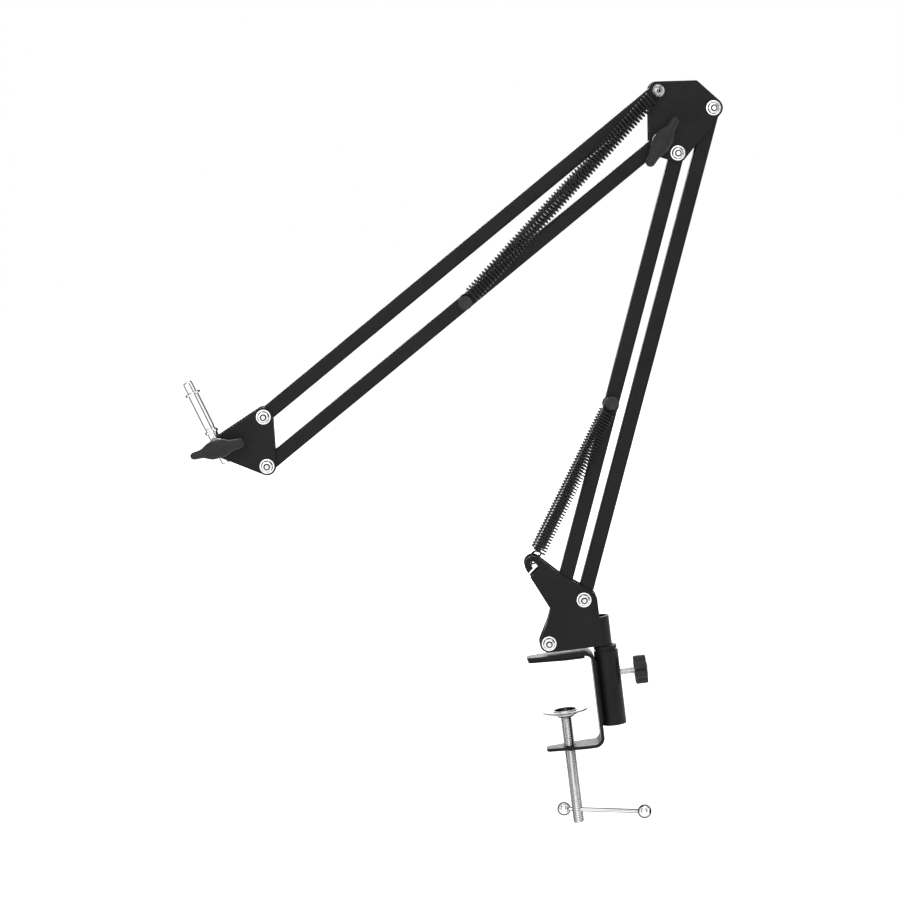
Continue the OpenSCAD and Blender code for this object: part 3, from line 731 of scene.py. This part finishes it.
for part, place in (("elbow", ELBOW_CLAMP), ("head", HEAD_CLAMP)):
    node_name = f"{part}_clamp_bolt"
    low, high = box(node_name)
    bolt = domed_bolt(f"{part}_carriage_bolt", WASHER_OUTER, high.y, CLAMP_BOLT_R, CLAMP_WASHER_R, low.y)
    finish(aim(bolt, place, BACK), part, "zinc_steel", node_name)
    washer_pair(f"{part}_clamp_washer", part, place, CLAMP_WASHER_R, CLAMP_BOLT_R + HOLE_ROOM,
                f"{part}_washers")

ANCHOR_R = 4.25
ANCHOR_COLLAR_R = 4.0
ANCHOR_HEAD_T = 2.6
ANCHOR_ROOM = 0.02
ANCHOR_HEAD = -box("spring_anchor_bolt")[0].y
ANCHOR_SEAT = ANCHOR_HEAD - ANCHOR_HEAD_T
ANCHOR_END = box("spring_anchor_bolt")[1].y
PLATE_FACE = -box("elbow_plate_front")[0].y

anchor = domed_bolt("spring_anchor_dome", ANCHOR_SEAT, ANCHOR_HEAD, BOLT_R, ANCHOR_R, -ANCHOR_END)
finish(aim(anchor, ELBOW_TOP, FRONT), "elbow", "zinc_steel", "spring_anchor_bolt", material=ANCHOR_ZINC)
ANCHOR_BORE = BOLT_R + ANCHOR_ROOM
collar = turned("spring_anchor_collar", [(ANCHOR_BORE, PLATE_FACE), (ANCHOR_COLLAR_R, PLATE_FACE),
                                         (ANCHOR_COLLAR_R, ANCHOR_SEAT), (ANCHOR_BORE, ANCHOR_SEAT)],
                closed=True)
finish(aim(collar, ELBOW_TOP, FRONT), "elbow", "zinc_steel")


# ---- springs ----

WIRE_SIDES = 10
COIL_STEPS = 22
LOOP_STEPS = 44
LOOP_SPAN = 330
SEAM_STEPS = 3
LOOP_EASE = 2.6
WIRE_TIP = 0.55
WIRE_SHOULDER = 0.9


def wire(name, path, radius):
    """A round wire along a path of points, with rounded ends."""
    tangents = []
    for i in range(len(path)):
        tangents.append((path[min(i + 1, len(path) - 1)] - path[max(i - 1, 0)]).normalized())
    side = tangents[0].orthogonal().normalized()
    points, rings = [], []
    for i, (middle, tangent) in enumerate(zip(path, tangents)):
        side = (side - tangent * side.dot(tangent)).normalized()
        other = tangent.cross(side)
        from_end = min(i, len(path) - 1 - i)
        r = radius * (WIRE_TIP if from_end == 0 else WIRE_SHOULDER if from_end == 1 else 1.0)
        ring = []
        for k in range(WIRE_SIDES):
            angle = math.tau * k / WIRE_SIDES
            ring.append(len(points))
            points.append(middle + (side * math.cos(angle) + other * math.sin(angle)) * r)
        rings.append(ring)
    faces = [list(reversed(rings[0])), rings[-1]]
    for lower, upper in zip(rings, rings[1:]):
        faces += bridge(lower, upper)
    return new_object(name, points, faces, 60)


def smooth_step(t):
    t = min(1.0, max(0.0, t))
    return t * t * (3 - 2 * t)


def end_loop(middle, toward, across, outward, radius, reach, tilt):
    """The wire of an end loop, from the coil inwards: it leaves the coil at reach and wraps round middle."""
    path = []
    for i in range(1, LOOP_STEPS + 1):
        share = i / LOOP_STEPS
        angle = math.radians(LOOP_SPAN) * share
        ease = smooth_step(share * LOOP_EASE)
        r = reach + (radius - reach) * ease
        lean = tilt * ease
        swing = across * math.cos(lean) + outward * math.sin(lean)
        path.append(middle + toward * (r * math.cos(angle)) + swing * (r * math.sin(angle)))
    return path


def spring_path(start, end, side, eye_y, coil_r, pitch, lead, far_lead, first, last):
    """A loop with its coil, and the far loop. first and last are (loop radius, loop middle's distance,
    tilt) at each end."""
    toward = (end - start).normalized()
    across = CROSSWISE.cross(toward) * -side
    outward = CROSSWISE * side
    length = (end - start).length
    coil_length = length - lead - far_lead
    turns = round(coil_length / pitch)
    origin = start + outward * eye_y
    axis = outward * coil_r

    radius, distance, tilt = first
    head = end_loop(origin + toward * distance, toward, -across, outward, radius, lead - distance, tilt)
    coil = []
    for i in range(turns * COIL_STEPS + 1):
        angle = math.tau * i / COIL_STEPS
        along = toward * (lead + coil_length * i / (turns * COIL_STEPS))
        coil.append(origin + along + axis * (1 - math.cos(angle)) + across * (coil_r * math.sin(angle)))
    radius, distance, tilt = last
    tail = end_loop(origin + toward * (length - distance), -toward, across, outward, radius,
                    far_lead - distance, tilt)
    return list(reversed(head)) + coil, tail


def spring(arm, which, side, coil_d, eye_y, pitch, leads, first, last, start, end):
    """A spring that stretches between two bodies; its last turn and far loop stay on the arm's bolt."""
    name = f"{arm}_spring_{which}"
    coil, tail = spring_path(start, end, side, eye_y, (coil_d - WIRE_D) / 2, pitch, *leads, first, last)
    hook = wire(f"{name}_end_hook", coil[-COIL_STEPS - SEAM_STEPS:] + tail, WIRE_D / 2)
    finish(hook, f"{arm}_arm", "spring_wire")
    piece = wire(f"{name}_wire", coil[:-COIL_STEPS], WIRE_D / 2)
    piece.data.materials.append(MATERIALS["spring_wire"])
    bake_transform(piece)
    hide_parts(name, f"{arm}_spring_eyes")


WIRE_D = 1.2
EYE_LEAD = 6.6
HOOK_LEAD = 9.4
HOOK_R = 4.0
HOOK_TILT = math.radians(55)
EYE_R = 4.8
BOLT_EYE_R = 4.2
LOWER_COIL_D = 10.0
UPPER_COIL_D = 10.4
LOWER_PITCH = 2.17
UPPER_PITCH = 2.64
NOTCH = pivot("lower_spring_swing")
LOWER_EYE_Y = box("lower_spring_eyes")[1].y - WIRE_D / 2
UPPER_EYE_Y = box("upper_spring_eyes")[1].y - WIRE_D / 2

for which, side in (("front", -1), ("back", 1)):
    spring("lower", which, side, LOWER_COIL_D, LOWER_EYE_Y, LOWER_PITCH, (HOOK_LEAD, EYE_LEAD),
           (HOOK_R, HOOK_R, HOOK_TILT), (BOLT_EYE_R, 0, 0), NOTCH, LOWER_BOLT)
    spring("upper", which, side, UPPER_COIL_D, UPPER_EYE_Y, UPPER_PITCH, (EYE_LEAD, EYE_LEAD),
           (EYE_R, 0, 0), (BOLT_EYE_R, 0, 0), ELBOW_TOP, UPPER_BOLT)


# ---- clamp screw, tommy bar balls and thumbscrew ----

ROD_END_LEAD = 0.9


def threaded_rod(name, radius, pitch, length, depth, rows_each=8, segments=40):
    """A thread along Z from 0, broken at both ends."""
    rows = int(length / pitch * rows_each)
    profile = [(0, 0)] + [(radius, length * i / rows) for i in range(rows + 1)] + [(0, length)]

    def shape(angle, r, height):
        lead = radius - ROD_END_LEAD + min(height, length - height)
        return min(thread(r, pitch, angle, height, depth), lead)

    return turned(name, profile, segments, shape, sharp=70)


SCREW_PITCH = 1.25
SCREW_R = 3.9
SCREW_THREAD_DEPTH = 0.62
SCREW_NECK_R = 3.0
PEENED_R = 4.7
PEENED_T = 2.2
CENTRE_DRILL_R = 1.6
TOMMY_R = 1.5
TOMMY_BORE = TOMMY_R + 0.05
BALL_R = 4.8
screw_low, screw_high = box("clamp_screw")
pad_low = box("clamp_pad")[0]
SCREW_FOOT = Vector((pivot("screw_turn").x, 0, screw_low.z))
TOMMY_AXIS = Vector(joint("tommy_slide")["axis"])
TOMMY_MIDDLE = centre("tommy_bar")

thread_length = pad_low.z - 0.05 - screw_low.z
screw = threaded_rod("clamp_screw_thread", SCREW_R, SCREW_PITCH, thread_length, SCREW_THREAD_DEPTH)
aim(screw, SCREW_FOOT, (0, 0, 1))
drill(screw, flat(SCREW_FOOT) + Vector((0, 0, TOMMY_MIDDLE.z)), TOMMY_AXIS, TOMMY_BORE, 4 * SCREW_R)
finish(screw, "screw", "chrome", "clamp_screw", material=THREAD_CHROME)

neck_low = pad_low.z - 0.6 - screw_low.z
seat_z = screw_high.z - PEENED_T - screw_low.z
top_z = screw_high.z - screw_low.z
neck = turned("clamp_screw_peened_end", [
    (0, neck_low), (SCREW_NECK_R, neck_low), (SCREW_NECK_R, seat_z), (PEENED_R - 0.3, seat_z),
    (PEENED_R, seat_z + 0.35), (PEENED_R - 0.5, seat_z + 1.1), (PEENED_R - 1.6, seat_z + 1.7),
    (CENTRE_DRILL_R, top_z - 0.25), (1.0, top_z), (0.5, top_z - 0.5), (0, top_z - 0.7)], 48, sharp=50)
finish(aim(neck, SCREW_FOOT, (0, 0, 1)), "screw", "chrome")


def tommy_ball(name):
    """A ball with a bore through it and a small flat where the bar's end shows."""
    tilt = math.degrees(math.asin(TOMMY_BORE / BALL_R))
    profile = arc((0, 0), BALL_R, -90 + tilt, 90 - tilt, 36)
    return turned(name, profile, 64, closed=True, sharp=60)


TOMMY_HALF = (box("tommy_bar")[1] - box("tommy_bar")[0]).xy.length / 2 - TOMMY_R * 0.9
TOMMY_ENDS = [centre("tommy_balls") + TOMMY_AXIS * TOMMY_HALF * s for s in (-1, 1)]
for name, place in zip(("left", "right"), TOMMY_ENDS):
    finish(aim(tommy_ball(f"tommy_ball_{name}"), place, TOMMY_AXIS), "tommy", "chrome", "tommy_balls")

stud_low, stud_high = box("thumbscrew_stud")
STUD_R = 2.5
STUD_PITCH = 0.8
STUD_THREAD_DEPTH = 0.42
THUMB_AXIS = Vector((1, 0, 0))
THUMB_Z = pivot("thumb_turn").z
stud = threaded_rod("thumbscrew_thread", STUD_R, STUD_PITCH, stud_high.x - stud_low.x, STUD_THREAD_DEPTH)
finish(aim(stud, (stud_low.x, 0, THUMB_Z), THUMB_AXIS), "thumb_stud", "zinc_steel", "thumbscrew_stud")

KNOB_LOBES = 8
KNOB_VALLEY = 2.3
VALLEY_START_R = 5.5
VALLEY_FADE = 3
LOBE_FULLNESS = 0.7
LOBE_TURN = math.radians(15)
KNOB_R = 10.4
KNOB_EDGE = 0.9
knob_low, knob_high = box("thumbscrew_knob")
KNOB_W = knob_high.x - knob_low.x


def lobed(angle, radius, height):
    """Round lobes with narrow valleys, fading out towards the middle of each face."""
    fade = smooth_step((radius - VALLEY_START_R) / VALLEY_FADE)
    across = abs(math.cos((angle - LOBE_TURN) * KNOB_LOBES / 2))
    return radius - KNOB_VALLEY * fade * (1 - across ** LOBE_FULLNESS)


knob_bore = STUD_R + 0.1
bore_end = stud_high.x - knob_low.x
knob_profile = [(0, bore_end), (knob_bore, bore_end), (knob_bore, 0.4), (STUD_R + 0.5, 0)]
knob_profile += [(4.2, 0), (4.6, 0.5), (6.0, 0.5), (6.4, 0.15)]
knob_profile += [(KNOB_R - KNOB_EDGE, 0)] + arc((KNOB_R - KNOB_EDGE, KNOB_EDGE), KNOB_EDGE, -90, 0)
knob_profile += arc((KNOB_R - KNOB_EDGE, KNOB_W - KNOB_EDGE), KNOB_EDGE, 0, 90)
knob_profile += [(6.6, KNOB_W), (6.2, KNOB_W - 0.4), (5.6, KNOB_W - 0.9), (4.8, KNOB_W - 0.9),
                 (0, KNOB_W - 0.75)]
thumb_knob = turned("thumbscrew_lobed_knob", knob_profile, 160, lobed, sharp=50)
finish(aim(thumb_knob, (knob_low.x, 0, THUMB_Z), THUMB_AXIS), "thumb_knob", "black_plastic",
       "thumbscrew_knob")

cap_low, cap_high = box("thumbscrew_cap")
CAP_R = (cap_high.z - cap_low.z) / 2
CAP_T = cap_high.x - cap_low.x
CAP_SUNK = 0.9
cap_ball = (CAP_R ** 2 + CAP_T ** 2) / (2 * CAP_T)
cap_spread = math.degrees(math.asin((CAP_R - 0.1) / cap_ball))
cap_profile = [(0, -CAP_SUNK), (CAP_R, -CAP_SUNK), (CAP_R, 0)]
cap_profile += arc((0, CAP_T - cap_ball), cap_ball, 90 - cap_spread, 90, 10)[:-1] + [(0, CAP_T)]
cap = turned("thumbscrew_domed_cap", cap_profile, 64, sharp=50)
finish(aim(cap, (cap_low.x, 0, THUMB_Z), THUMB_AXIS), "thumb_knob", "zinc_steel", "thumbscrew_cap")


# ---- wing knobs ----

WING_REACH = 16.0
WING_ROOT_R = 6.5
WING_TAPER = 1.5
WING_FLOW_START = 3.0
WING_FLOW = 8.5
BLUNT_R = 3.4
THIN_R = 2.7
WING_STATIONS = 64
WING_SIDES = 32
WING_HUB_R = 6.0
WING_TWIST = math.radians(9)
WING_DEPTH = 8.2
WING_LIFT = 1.9
WING_DISH = 0.9
WING_RAMP_START = 4
WING_RAMP = 10
WING_TIP_SHARE = 0.35
WING_FLATNESS = 0.8
WING_FACE_FLATNESS = 0.75
WING_SLIMMED = 0.97
WING_VOXEL = 0.32
WING_EASE_ROUNDS = 7


def wing_half_width(x):
    """Half the blade's width at x: a round hub that flows into two slowly narrowing blades."""
    tip = BLUNT_R if x > 0 else THIN_R
    u = abs(x)
    if u > WING_REACH:
        return math.sqrt(max(0.0, tip ** 2 - (u - WING_REACH) ** 2))
    blade = tip + WING_TAPER * (1 - u / WING_REACH)
    return blade + (WING_ROOT_R - blade) * (1 - smooth_step((u - WING_FLOW_START) / WING_FLOW))


def wing_blade(back, front):
    """Points and faces of the blade: X along it, Z out of the knob's face."""
    low, high = -WING_REACH - THIN_R, WING_REACH + BLUNT_R
    points, rings = [], []
    for i in range(WING_STATIONS + 1):
        angle = math.pi * i / WING_STATIONS
        x = (low + high) / 2 - (high - low) / 2 * math.cos(angle)
        half = wing_half_width(x)
        ramp = smooth_step((abs(x) - WING_RAMP_START) / WING_RAMP)
        bottom = back + WING_LIFT * ramp
        top = front - WING_DISH * (1 - ramp)
        past_reach = max(0.0, abs(x) - WING_REACH) / (BLUNT_R if x > 0 else THIN_R)
        tip_round = math.sqrt(max(0.0, 1 - past_reach ** 2))
        mid = (bottom + top) / 2
        tall = (top - bottom) / 2 * (WING_TIP_SHARE + (1 - WING_TIP_SHARE) * tip_round)
        twist = WING_TWIST * smooth_step(abs(x) / WING_REACH) * (1 if x > 0 else -1)
        ring = []
        for k in range(WING_SIDES):
            a = math.tau * k / WING_SIDES
            c, s = math.cos(a), math.sin(a)
            y = math.copysign(abs(c) ** WING_FLATNESS, c) * half * WING_SLIMMED
            z = math.copysign(abs(s) ** WING_FACE_FLATNESS, s) * tall
            ring.append(len(points))
            points.append((x, y * math.cos(twist) - z * math.sin(twist),
                           mid + y * math.sin(twist) + z * math.cos(twist)))
        rings.append(ring)
    faces = [list(reversed(rings[0])), rings[-1]]
    for lower, upper in zip(rings, rings[1:]):
        faces += bridge(lower, upper)
    return points, faces


def wing_knob(name, node, place, blade_angle, body):
    """Hub and blade melted into one moulding."""
    low, high = box(node)
    foot, front = -high.y, -low.y
    back = front - WING_DEPTH
    blade = new_object(name, *wing_blade(back, front))
    hub = turned("hub", [(0, foot), (WING_HUB_R - 0.5, foot), (WING_HUB_R - 0.1, foot + 0.5),
                         (WING_HUB_R - 0.4, back), (WING_HUB_R - 0.2, front - 2.2),
                         (WING_HUB_R - 1.2, front - 1.0), (WING_HUB_R - 2.6, front - 0.75), (0, front - 0.6)])
    combine(blade, hub, "UNION")
    melt = blade.modifiers.new("melt", "REMESH")
    melt.mode = "VOXEL"
    melt.voxel_size = WING_VOXEL * MM
    ease = blade.modifiers.new("ease", "SMOOTH")
    ease.factor = 0.5
    ease.iterations = WING_EASE_ROUNDS
    bake(blade)
    blade.data.shade_smooth()
    turn = Matrix((Vector((math.cos(blade_angle), 0, math.sin(blade_angle))),
                   Vector((-math.sin(blade_angle), 0, math.cos(blade_angle))), FRONT)).transposed().to_4x4()
    blade.matrix_world = Matrix.Translation(place * MM) @ turn
    finish(blade, body, "black_plastic", node)


ELBOW_WING_ANGLE = math.radians(232)
HEAD_WING_ANGLE = math.radians(8.6)
wing_knob("elbow_wing", "elbow_wing_knob", ELBOW_CLAMP, ELBOW_WING_ANGLE, "elbow_knob")
wing_knob("head_wing", "head_wing_knob", HEAD_CLAMP, HEAD_WING_ANGLE, "head_knob")


# ---- microphone spigot ----

MIC_PIN = next(m for m in frame["record"]["mounts"] if m["name"] == "mic_pin")
SPIGOT_AXIS = Vector(MIC_PIN["axis"])
SPIGOT_TOP = (Vector(MIC_PIN["pos_m"]) / MM - HEAD_CLAMP).length + MIC_PIN["dims"]["length_mm"] / 2
TIP_R = MIC_PIN["dims"]["r_mm"]
TIP_LEN = MIC_PIN["dims"]["length_mm"]
ROD_R = 3.7
STOP_R = 5.4
STOP_T = 1.5
SHOULDER_R = 4.8
SHOULDER_TOP = 12.0
SHOULDER_T = 2.0
GROOVE_R = ROD_R - 0.3
SPIGOT_TAIL = 13.0
SPIGOT_CHAMFER = 0.7
TIP_NECK_R = TIP_R - 0.25
EYE_BLOCK_R = 7.0
EYE_BLOCK_CHAMFER = 0.4
EYE_BLOCK_HALF = box("mic_spigot")[1].y


def collar_rows(radius, low, high, stem, soft=0.25):
    """Profile rows of a disc on a stem, with softened rims."""
    return [(stem, low), (radius - soft, low), (radius, low + soft), (radius, high - soft),
            (radius - soft, high), (stem, high)]


stop_top = SPIGOT_TOP - TIP_LEN
spigot_profile = [(0, -SPIGOT_TAIL), (ROD_R - SPIGOT_CHAMFER, -SPIGOT_TAIL),
                  (ROD_R, -SPIGOT_TAIL + SPIGOT_CHAMFER)]
spigot_profile += collar_rows(SHOULDER_R, SHOULDER_TOP - SHOULDER_T, SHOULDER_TOP, ROD_R)
spigot_profile += [(ROD_R, SHOULDER_TOP + 1.2), (GROOVE_R, SHOULDER_TOP + 1.5),
                   (GROOVE_R, SHOULDER_TOP + 2.1), (ROD_R, SHOULDER_TOP + 2.4)]
spigot_profile += collar_rows(STOP_R, stop_top - STOP_T, stop_top, ROD_R)[:-1]
spigot_profile += [(TIP_NECK_R, stop_top), (TIP_NECK_R, stop_top + 0.5), (TIP_R, stop_top + 0.75),
                   (TIP_R, SPIGOT_TOP - SPIGOT_CHAMFER), (TIP_R - SPIGOT_CHAMFER, SPIGOT_TOP),
                   (0, SPIGOT_TOP)]
spigot = aim(turned("spigot_rod", spigot_profile, 72), HEAD_CLAMP, SPIGOT_AXIS)
eye_rim_r = EYE_BLOCK_R - EYE_BLOCK_CHAMFER
eye_rim_y = EYE_BLOCK_HALF - EYE_BLOCK_CHAMFER
eye = turned("eye", [(0, -EYE_BLOCK_HALF), (eye_rim_r, -EYE_BLOCK_HALF), (EYE_BLOCK_R, -eye_rim_y),
                     (EYE_BLOCK_R, eye_rim_y), (eye_rim_r, EYE_BLOCK_HALF), (0, EYE_BLOCK_HALF)])
combine(spigot, aim(eye, HEAD_CLAMP, CROSSWISE), "UNION")
drill(spigot, HEAD_CLAMP, CROSSWISE, CLAMP_BORE, 4 * EYE_BLOCK_HALF)
finish(spigot, "spigot", "chrome", "mic_spigot")


# ---- weld beads between the socket and the clamp's spine ----

BEAD_R = 1.3
BEAD_STEP = 0.35
BEAD_SHORTER = 8
BEAD_RISE = 2.5
BEAD_INSET = 0.75
BEAD_APART = 3.5
WANDER = 0.35
RIPPLE = 0.18
socket_low, socket_high = box("post_socket")
for name, side in (("front", -1), ("back", 1)):
    path = []
    rows = int((socket_high.z - BEAD_SHORTER - socket_low.z) / BEAD_STEP)
    for i in range(rows):
        z = socket_low.z + BEAD_RISE + BEAD_STEP * i
        wander = noise.noise(Vector((z * 0.45, side * 3.1, 0))) * WANDER
        ripple = RIPPLE * math.sin(z * 3.6)
        x = socket_low.x + BEAD_INSET + wander * 0.4
        path.append(Vector((x, side * (BEAD_APART + wander + ripple), z)))
    bead = wire(f"weld_bead_{name}", path, BEAD_R)
    finish(bead, "clamp", "black_steel")


# ---- stage, lights and camera ----

ROOM_LIGHT = 0.15
ROOM_IN_REFLECTIONS = 0.75


def seen_strength(tree, plain, reflected, direct):
    """A strength for light that reaches matt faces, reflections and the camera."""
    ray = tree.nodes.new("ShaderNodeLightPath")
    value = plain
    for output, strength in (("Is Glossy Ray", reflected), ("Is Camera Ray", direct)):
        step = tree.nodes.new("ShaderNodeMix")
        tree.links.new(ray.outputs[output], step.inputs["Factor"])
        if isinstance(value, float):
            step.inputs["A"].default_value = value
        else:
            tree.links.new(value, step.inputs["A"])
        step.inputs["B"].default_value = strength
        value = step.outputs["Result"]
    return value


def floor_material(colour, rough, glow):
    """A matt floor that glows a little for the camera only, so that it runs into the white behind it."""
    material = bpy.data.materials.new("floor_white")
    material.use_nodes = True
    links = material.node_tree.links
    bsdf = material.node_tree.nodes["Principled BSDF"]
    bsdf.inputs["Base Color"].default_value = (*colour, 1)
    bsdf.inputs["Roughness"].default_value = rough
    bsdf.inputs["Specular IOR Level"].default_value = 0.0
    bsdf.inputs["Emission Color"].default_value = (1, 1, 1, 1)
    strength = seen_strength(material.node_tree, 0.0, glow * ROOM_IN_REFLECTIONS, glow)
    links.new(strength, bsdf.inputs["Emission Strength"])
    return material


# From here on lengths are in metres.
FLOOR_DROP = 0.008
FLOOR_HALF = 8.0
FLOOR_GREY = 0.86
FLOOR_ROUGH = 0.95
FLOOR_GLOW = 0.95
SCREW_DOWN = -joint("pad_travel")["range_m"][0]
floor_z = cad_low.z - SCREW_DOWN - FLOOR_DROP
floor_mesh = bpy.data.meshes.new("floor")
floor_mesh.from_pydata([(-FLOOR_HALF, -FLOOR_HALF, floor_z), (FLOOR_HALF, -FLOOR_HALF, floor_z),
                        (FLOOR_HALF, FLOOR_HALF, floor_z), (-FLOOR_HALF, FLOOR_HALF, floor_z)],
                       [], [(0, 1, 2, 3)])
floor = bpy.data.objects.new("floor", floor_mesh)
floor_mesh.materials.append(floor_material((FLOOR_GREY, FLOOR_GREY, FLOOR_GREY), FLOOR_ROUGH, FLOOR_GLOW))
bpy.context.scene.collection.objects.link(floor)

MIDDLE = (cad_low + cad_high) / 2


def softbox(name, place, width, height, power):
    """A rectangular light at a place, aimed at the middle of the object."""
    data = bpy.data.lights.new(name, "AREA")
    data.shape = "RECTANGLE"
    data.size = width
    data.size_y = height
    data.energy = power
    light = bpy.data.objects.new(name, data)
    light.location = place
    light.rotation_mode = "QUATERNION"
    light.rotation_quaternion = (MIDDLE - Vector(place)).to_track_quat("-Z", "Y")
    light.visible_camera = False
    bpy.context.scene.collection.objects.link(light)


softbox("front_softbox", (-0.5, -2.9, 1.1), 2.6, 2.2, 28)
softbox("top_softbox", (0.2, -0.2, 2.4), 2.2, 2.2, 20)
softbox("left_softbox", (-2.4, -0.9, 0.9), 1.0, 2.0, 9)
softbox("right_softbox", (2.4, -0.7, 0.7), 0.8, 2.0, 7)
softbox("back_softbox", (0.3, 2.9, 1.35), 2.8, 1.7, 55)

FLAG_DISTANCE = 1.4
FLAG_WIDTH = 0.34
FLAG_HEIGHT = 3.0
FLAG_BLACK = (0.005, 0.005, 0.005, 1)
FLAG_CLOTH = bpy.data.materials.new("flag_cloth")
FLAG_CLOTH.use_nodes = True
cloth = FLAG_CLOTH.node_tree.nodes["Principled BSDF"]
cloth.inputs["Base Color"].default_value = FLAG_BLACK
cloth.inputs["Specular IOR Level"].default_value = 0.0


def black_flag(name, azimuth):
    """A tall black strip that only polished pieces mirror, at an angle to the right of the front."""
    mesh = bpy.data.meshes.new(name)
    half_width, half_height = FLAG_WIDTH / 2, FLAG_HEIGHT / 2
    mesh.from_pydata([(-half_width, 0, -half_height), (half_width, 0, -half_height),
                      (half_width, 0, half_height), (-half_width, 0, half_height)], [], [(0, 1, 2, 3)])
    mesh.materials.append(FLAG_CLOTH)
    flag = bpy.data.objects.new(name, mesh)
    flag.location = MIDDLE + Vector((math.sin(azimuth), -math.cos(azimuth), 0)) * FLAG_DISTANCE
    flag.rotation_euler.z = azimuth
    flag.visible_camera = flag.visible_diffuse = flag.visible_shadow = False
    bpy.context.scene.collection.objects.link(flag)


black_flag("flag_right", math.radians(28))
black_flag("flag_left", math.radians(-62))

world = bpy.data.worlds.new("studio")
world.use_nodes = True
bpy.context.scene.world = world
sky = world.node_tree
background = sky.nodes["Background"]
background.inputs["Color"].default_value = (1, 1, 1, 1)
sky.links.new(seen_strength(sky, ROOM_LIGHT, ROOM_IN_REFLECTIONS, 1.0), background.inputs["Strength"])
bpy.context.scene.view_settings.view_transform = "Standard"

# The camera stands in front of the arm, a little above its middle, and is rolled so that the arm leans left.
CAMERA_DISTANCE = 2.2
CAMERA_ELEVATION = math.radians(6.5)
CAMERA_ROLL = math.radians(7.2)
FRAME_WIDTH = 0.6221
SENSOR = 36.0
CAMERA_TARGET = Vector((-0.057, 0, 0.1547))
away = Vector((0, -math.cos(CAMERA_ELEVATION), math.sin(CAMERA_ELEVATION)))
level_up = Vector((0, math.sin(CAMERA_ELEVATION), math.cos(CAMERA_ELEVATION)))
right = Vector((1, 0, 0)) * math.cos(CAMERA_ROLL) - level_up * math.sin(CAMERA_ROLL)
up = Vector((1, 0, 0)) * math.sin(CAMERA_ROLL) + level_up * math.cos(CAMERA_ROLL)
lens = bpy.data.cameras.new("camera")
lens.sensor_width = SENSOR
lens.lens = SENSOR * CAMERA_DISTANCE / FRAME_WIDTH
camera = bpy.data.objects.new("camera", lens)
camera.matrix_world = (Matrix.Translation(CAMERA_TARGET + away * CAMERA_DISTANCE)
                       @ Matrix((right, up, away)).transposed().to_4x4())
bpy.context.scene.collection.objects.link(camera)
bpy.context.scene.camera = camera
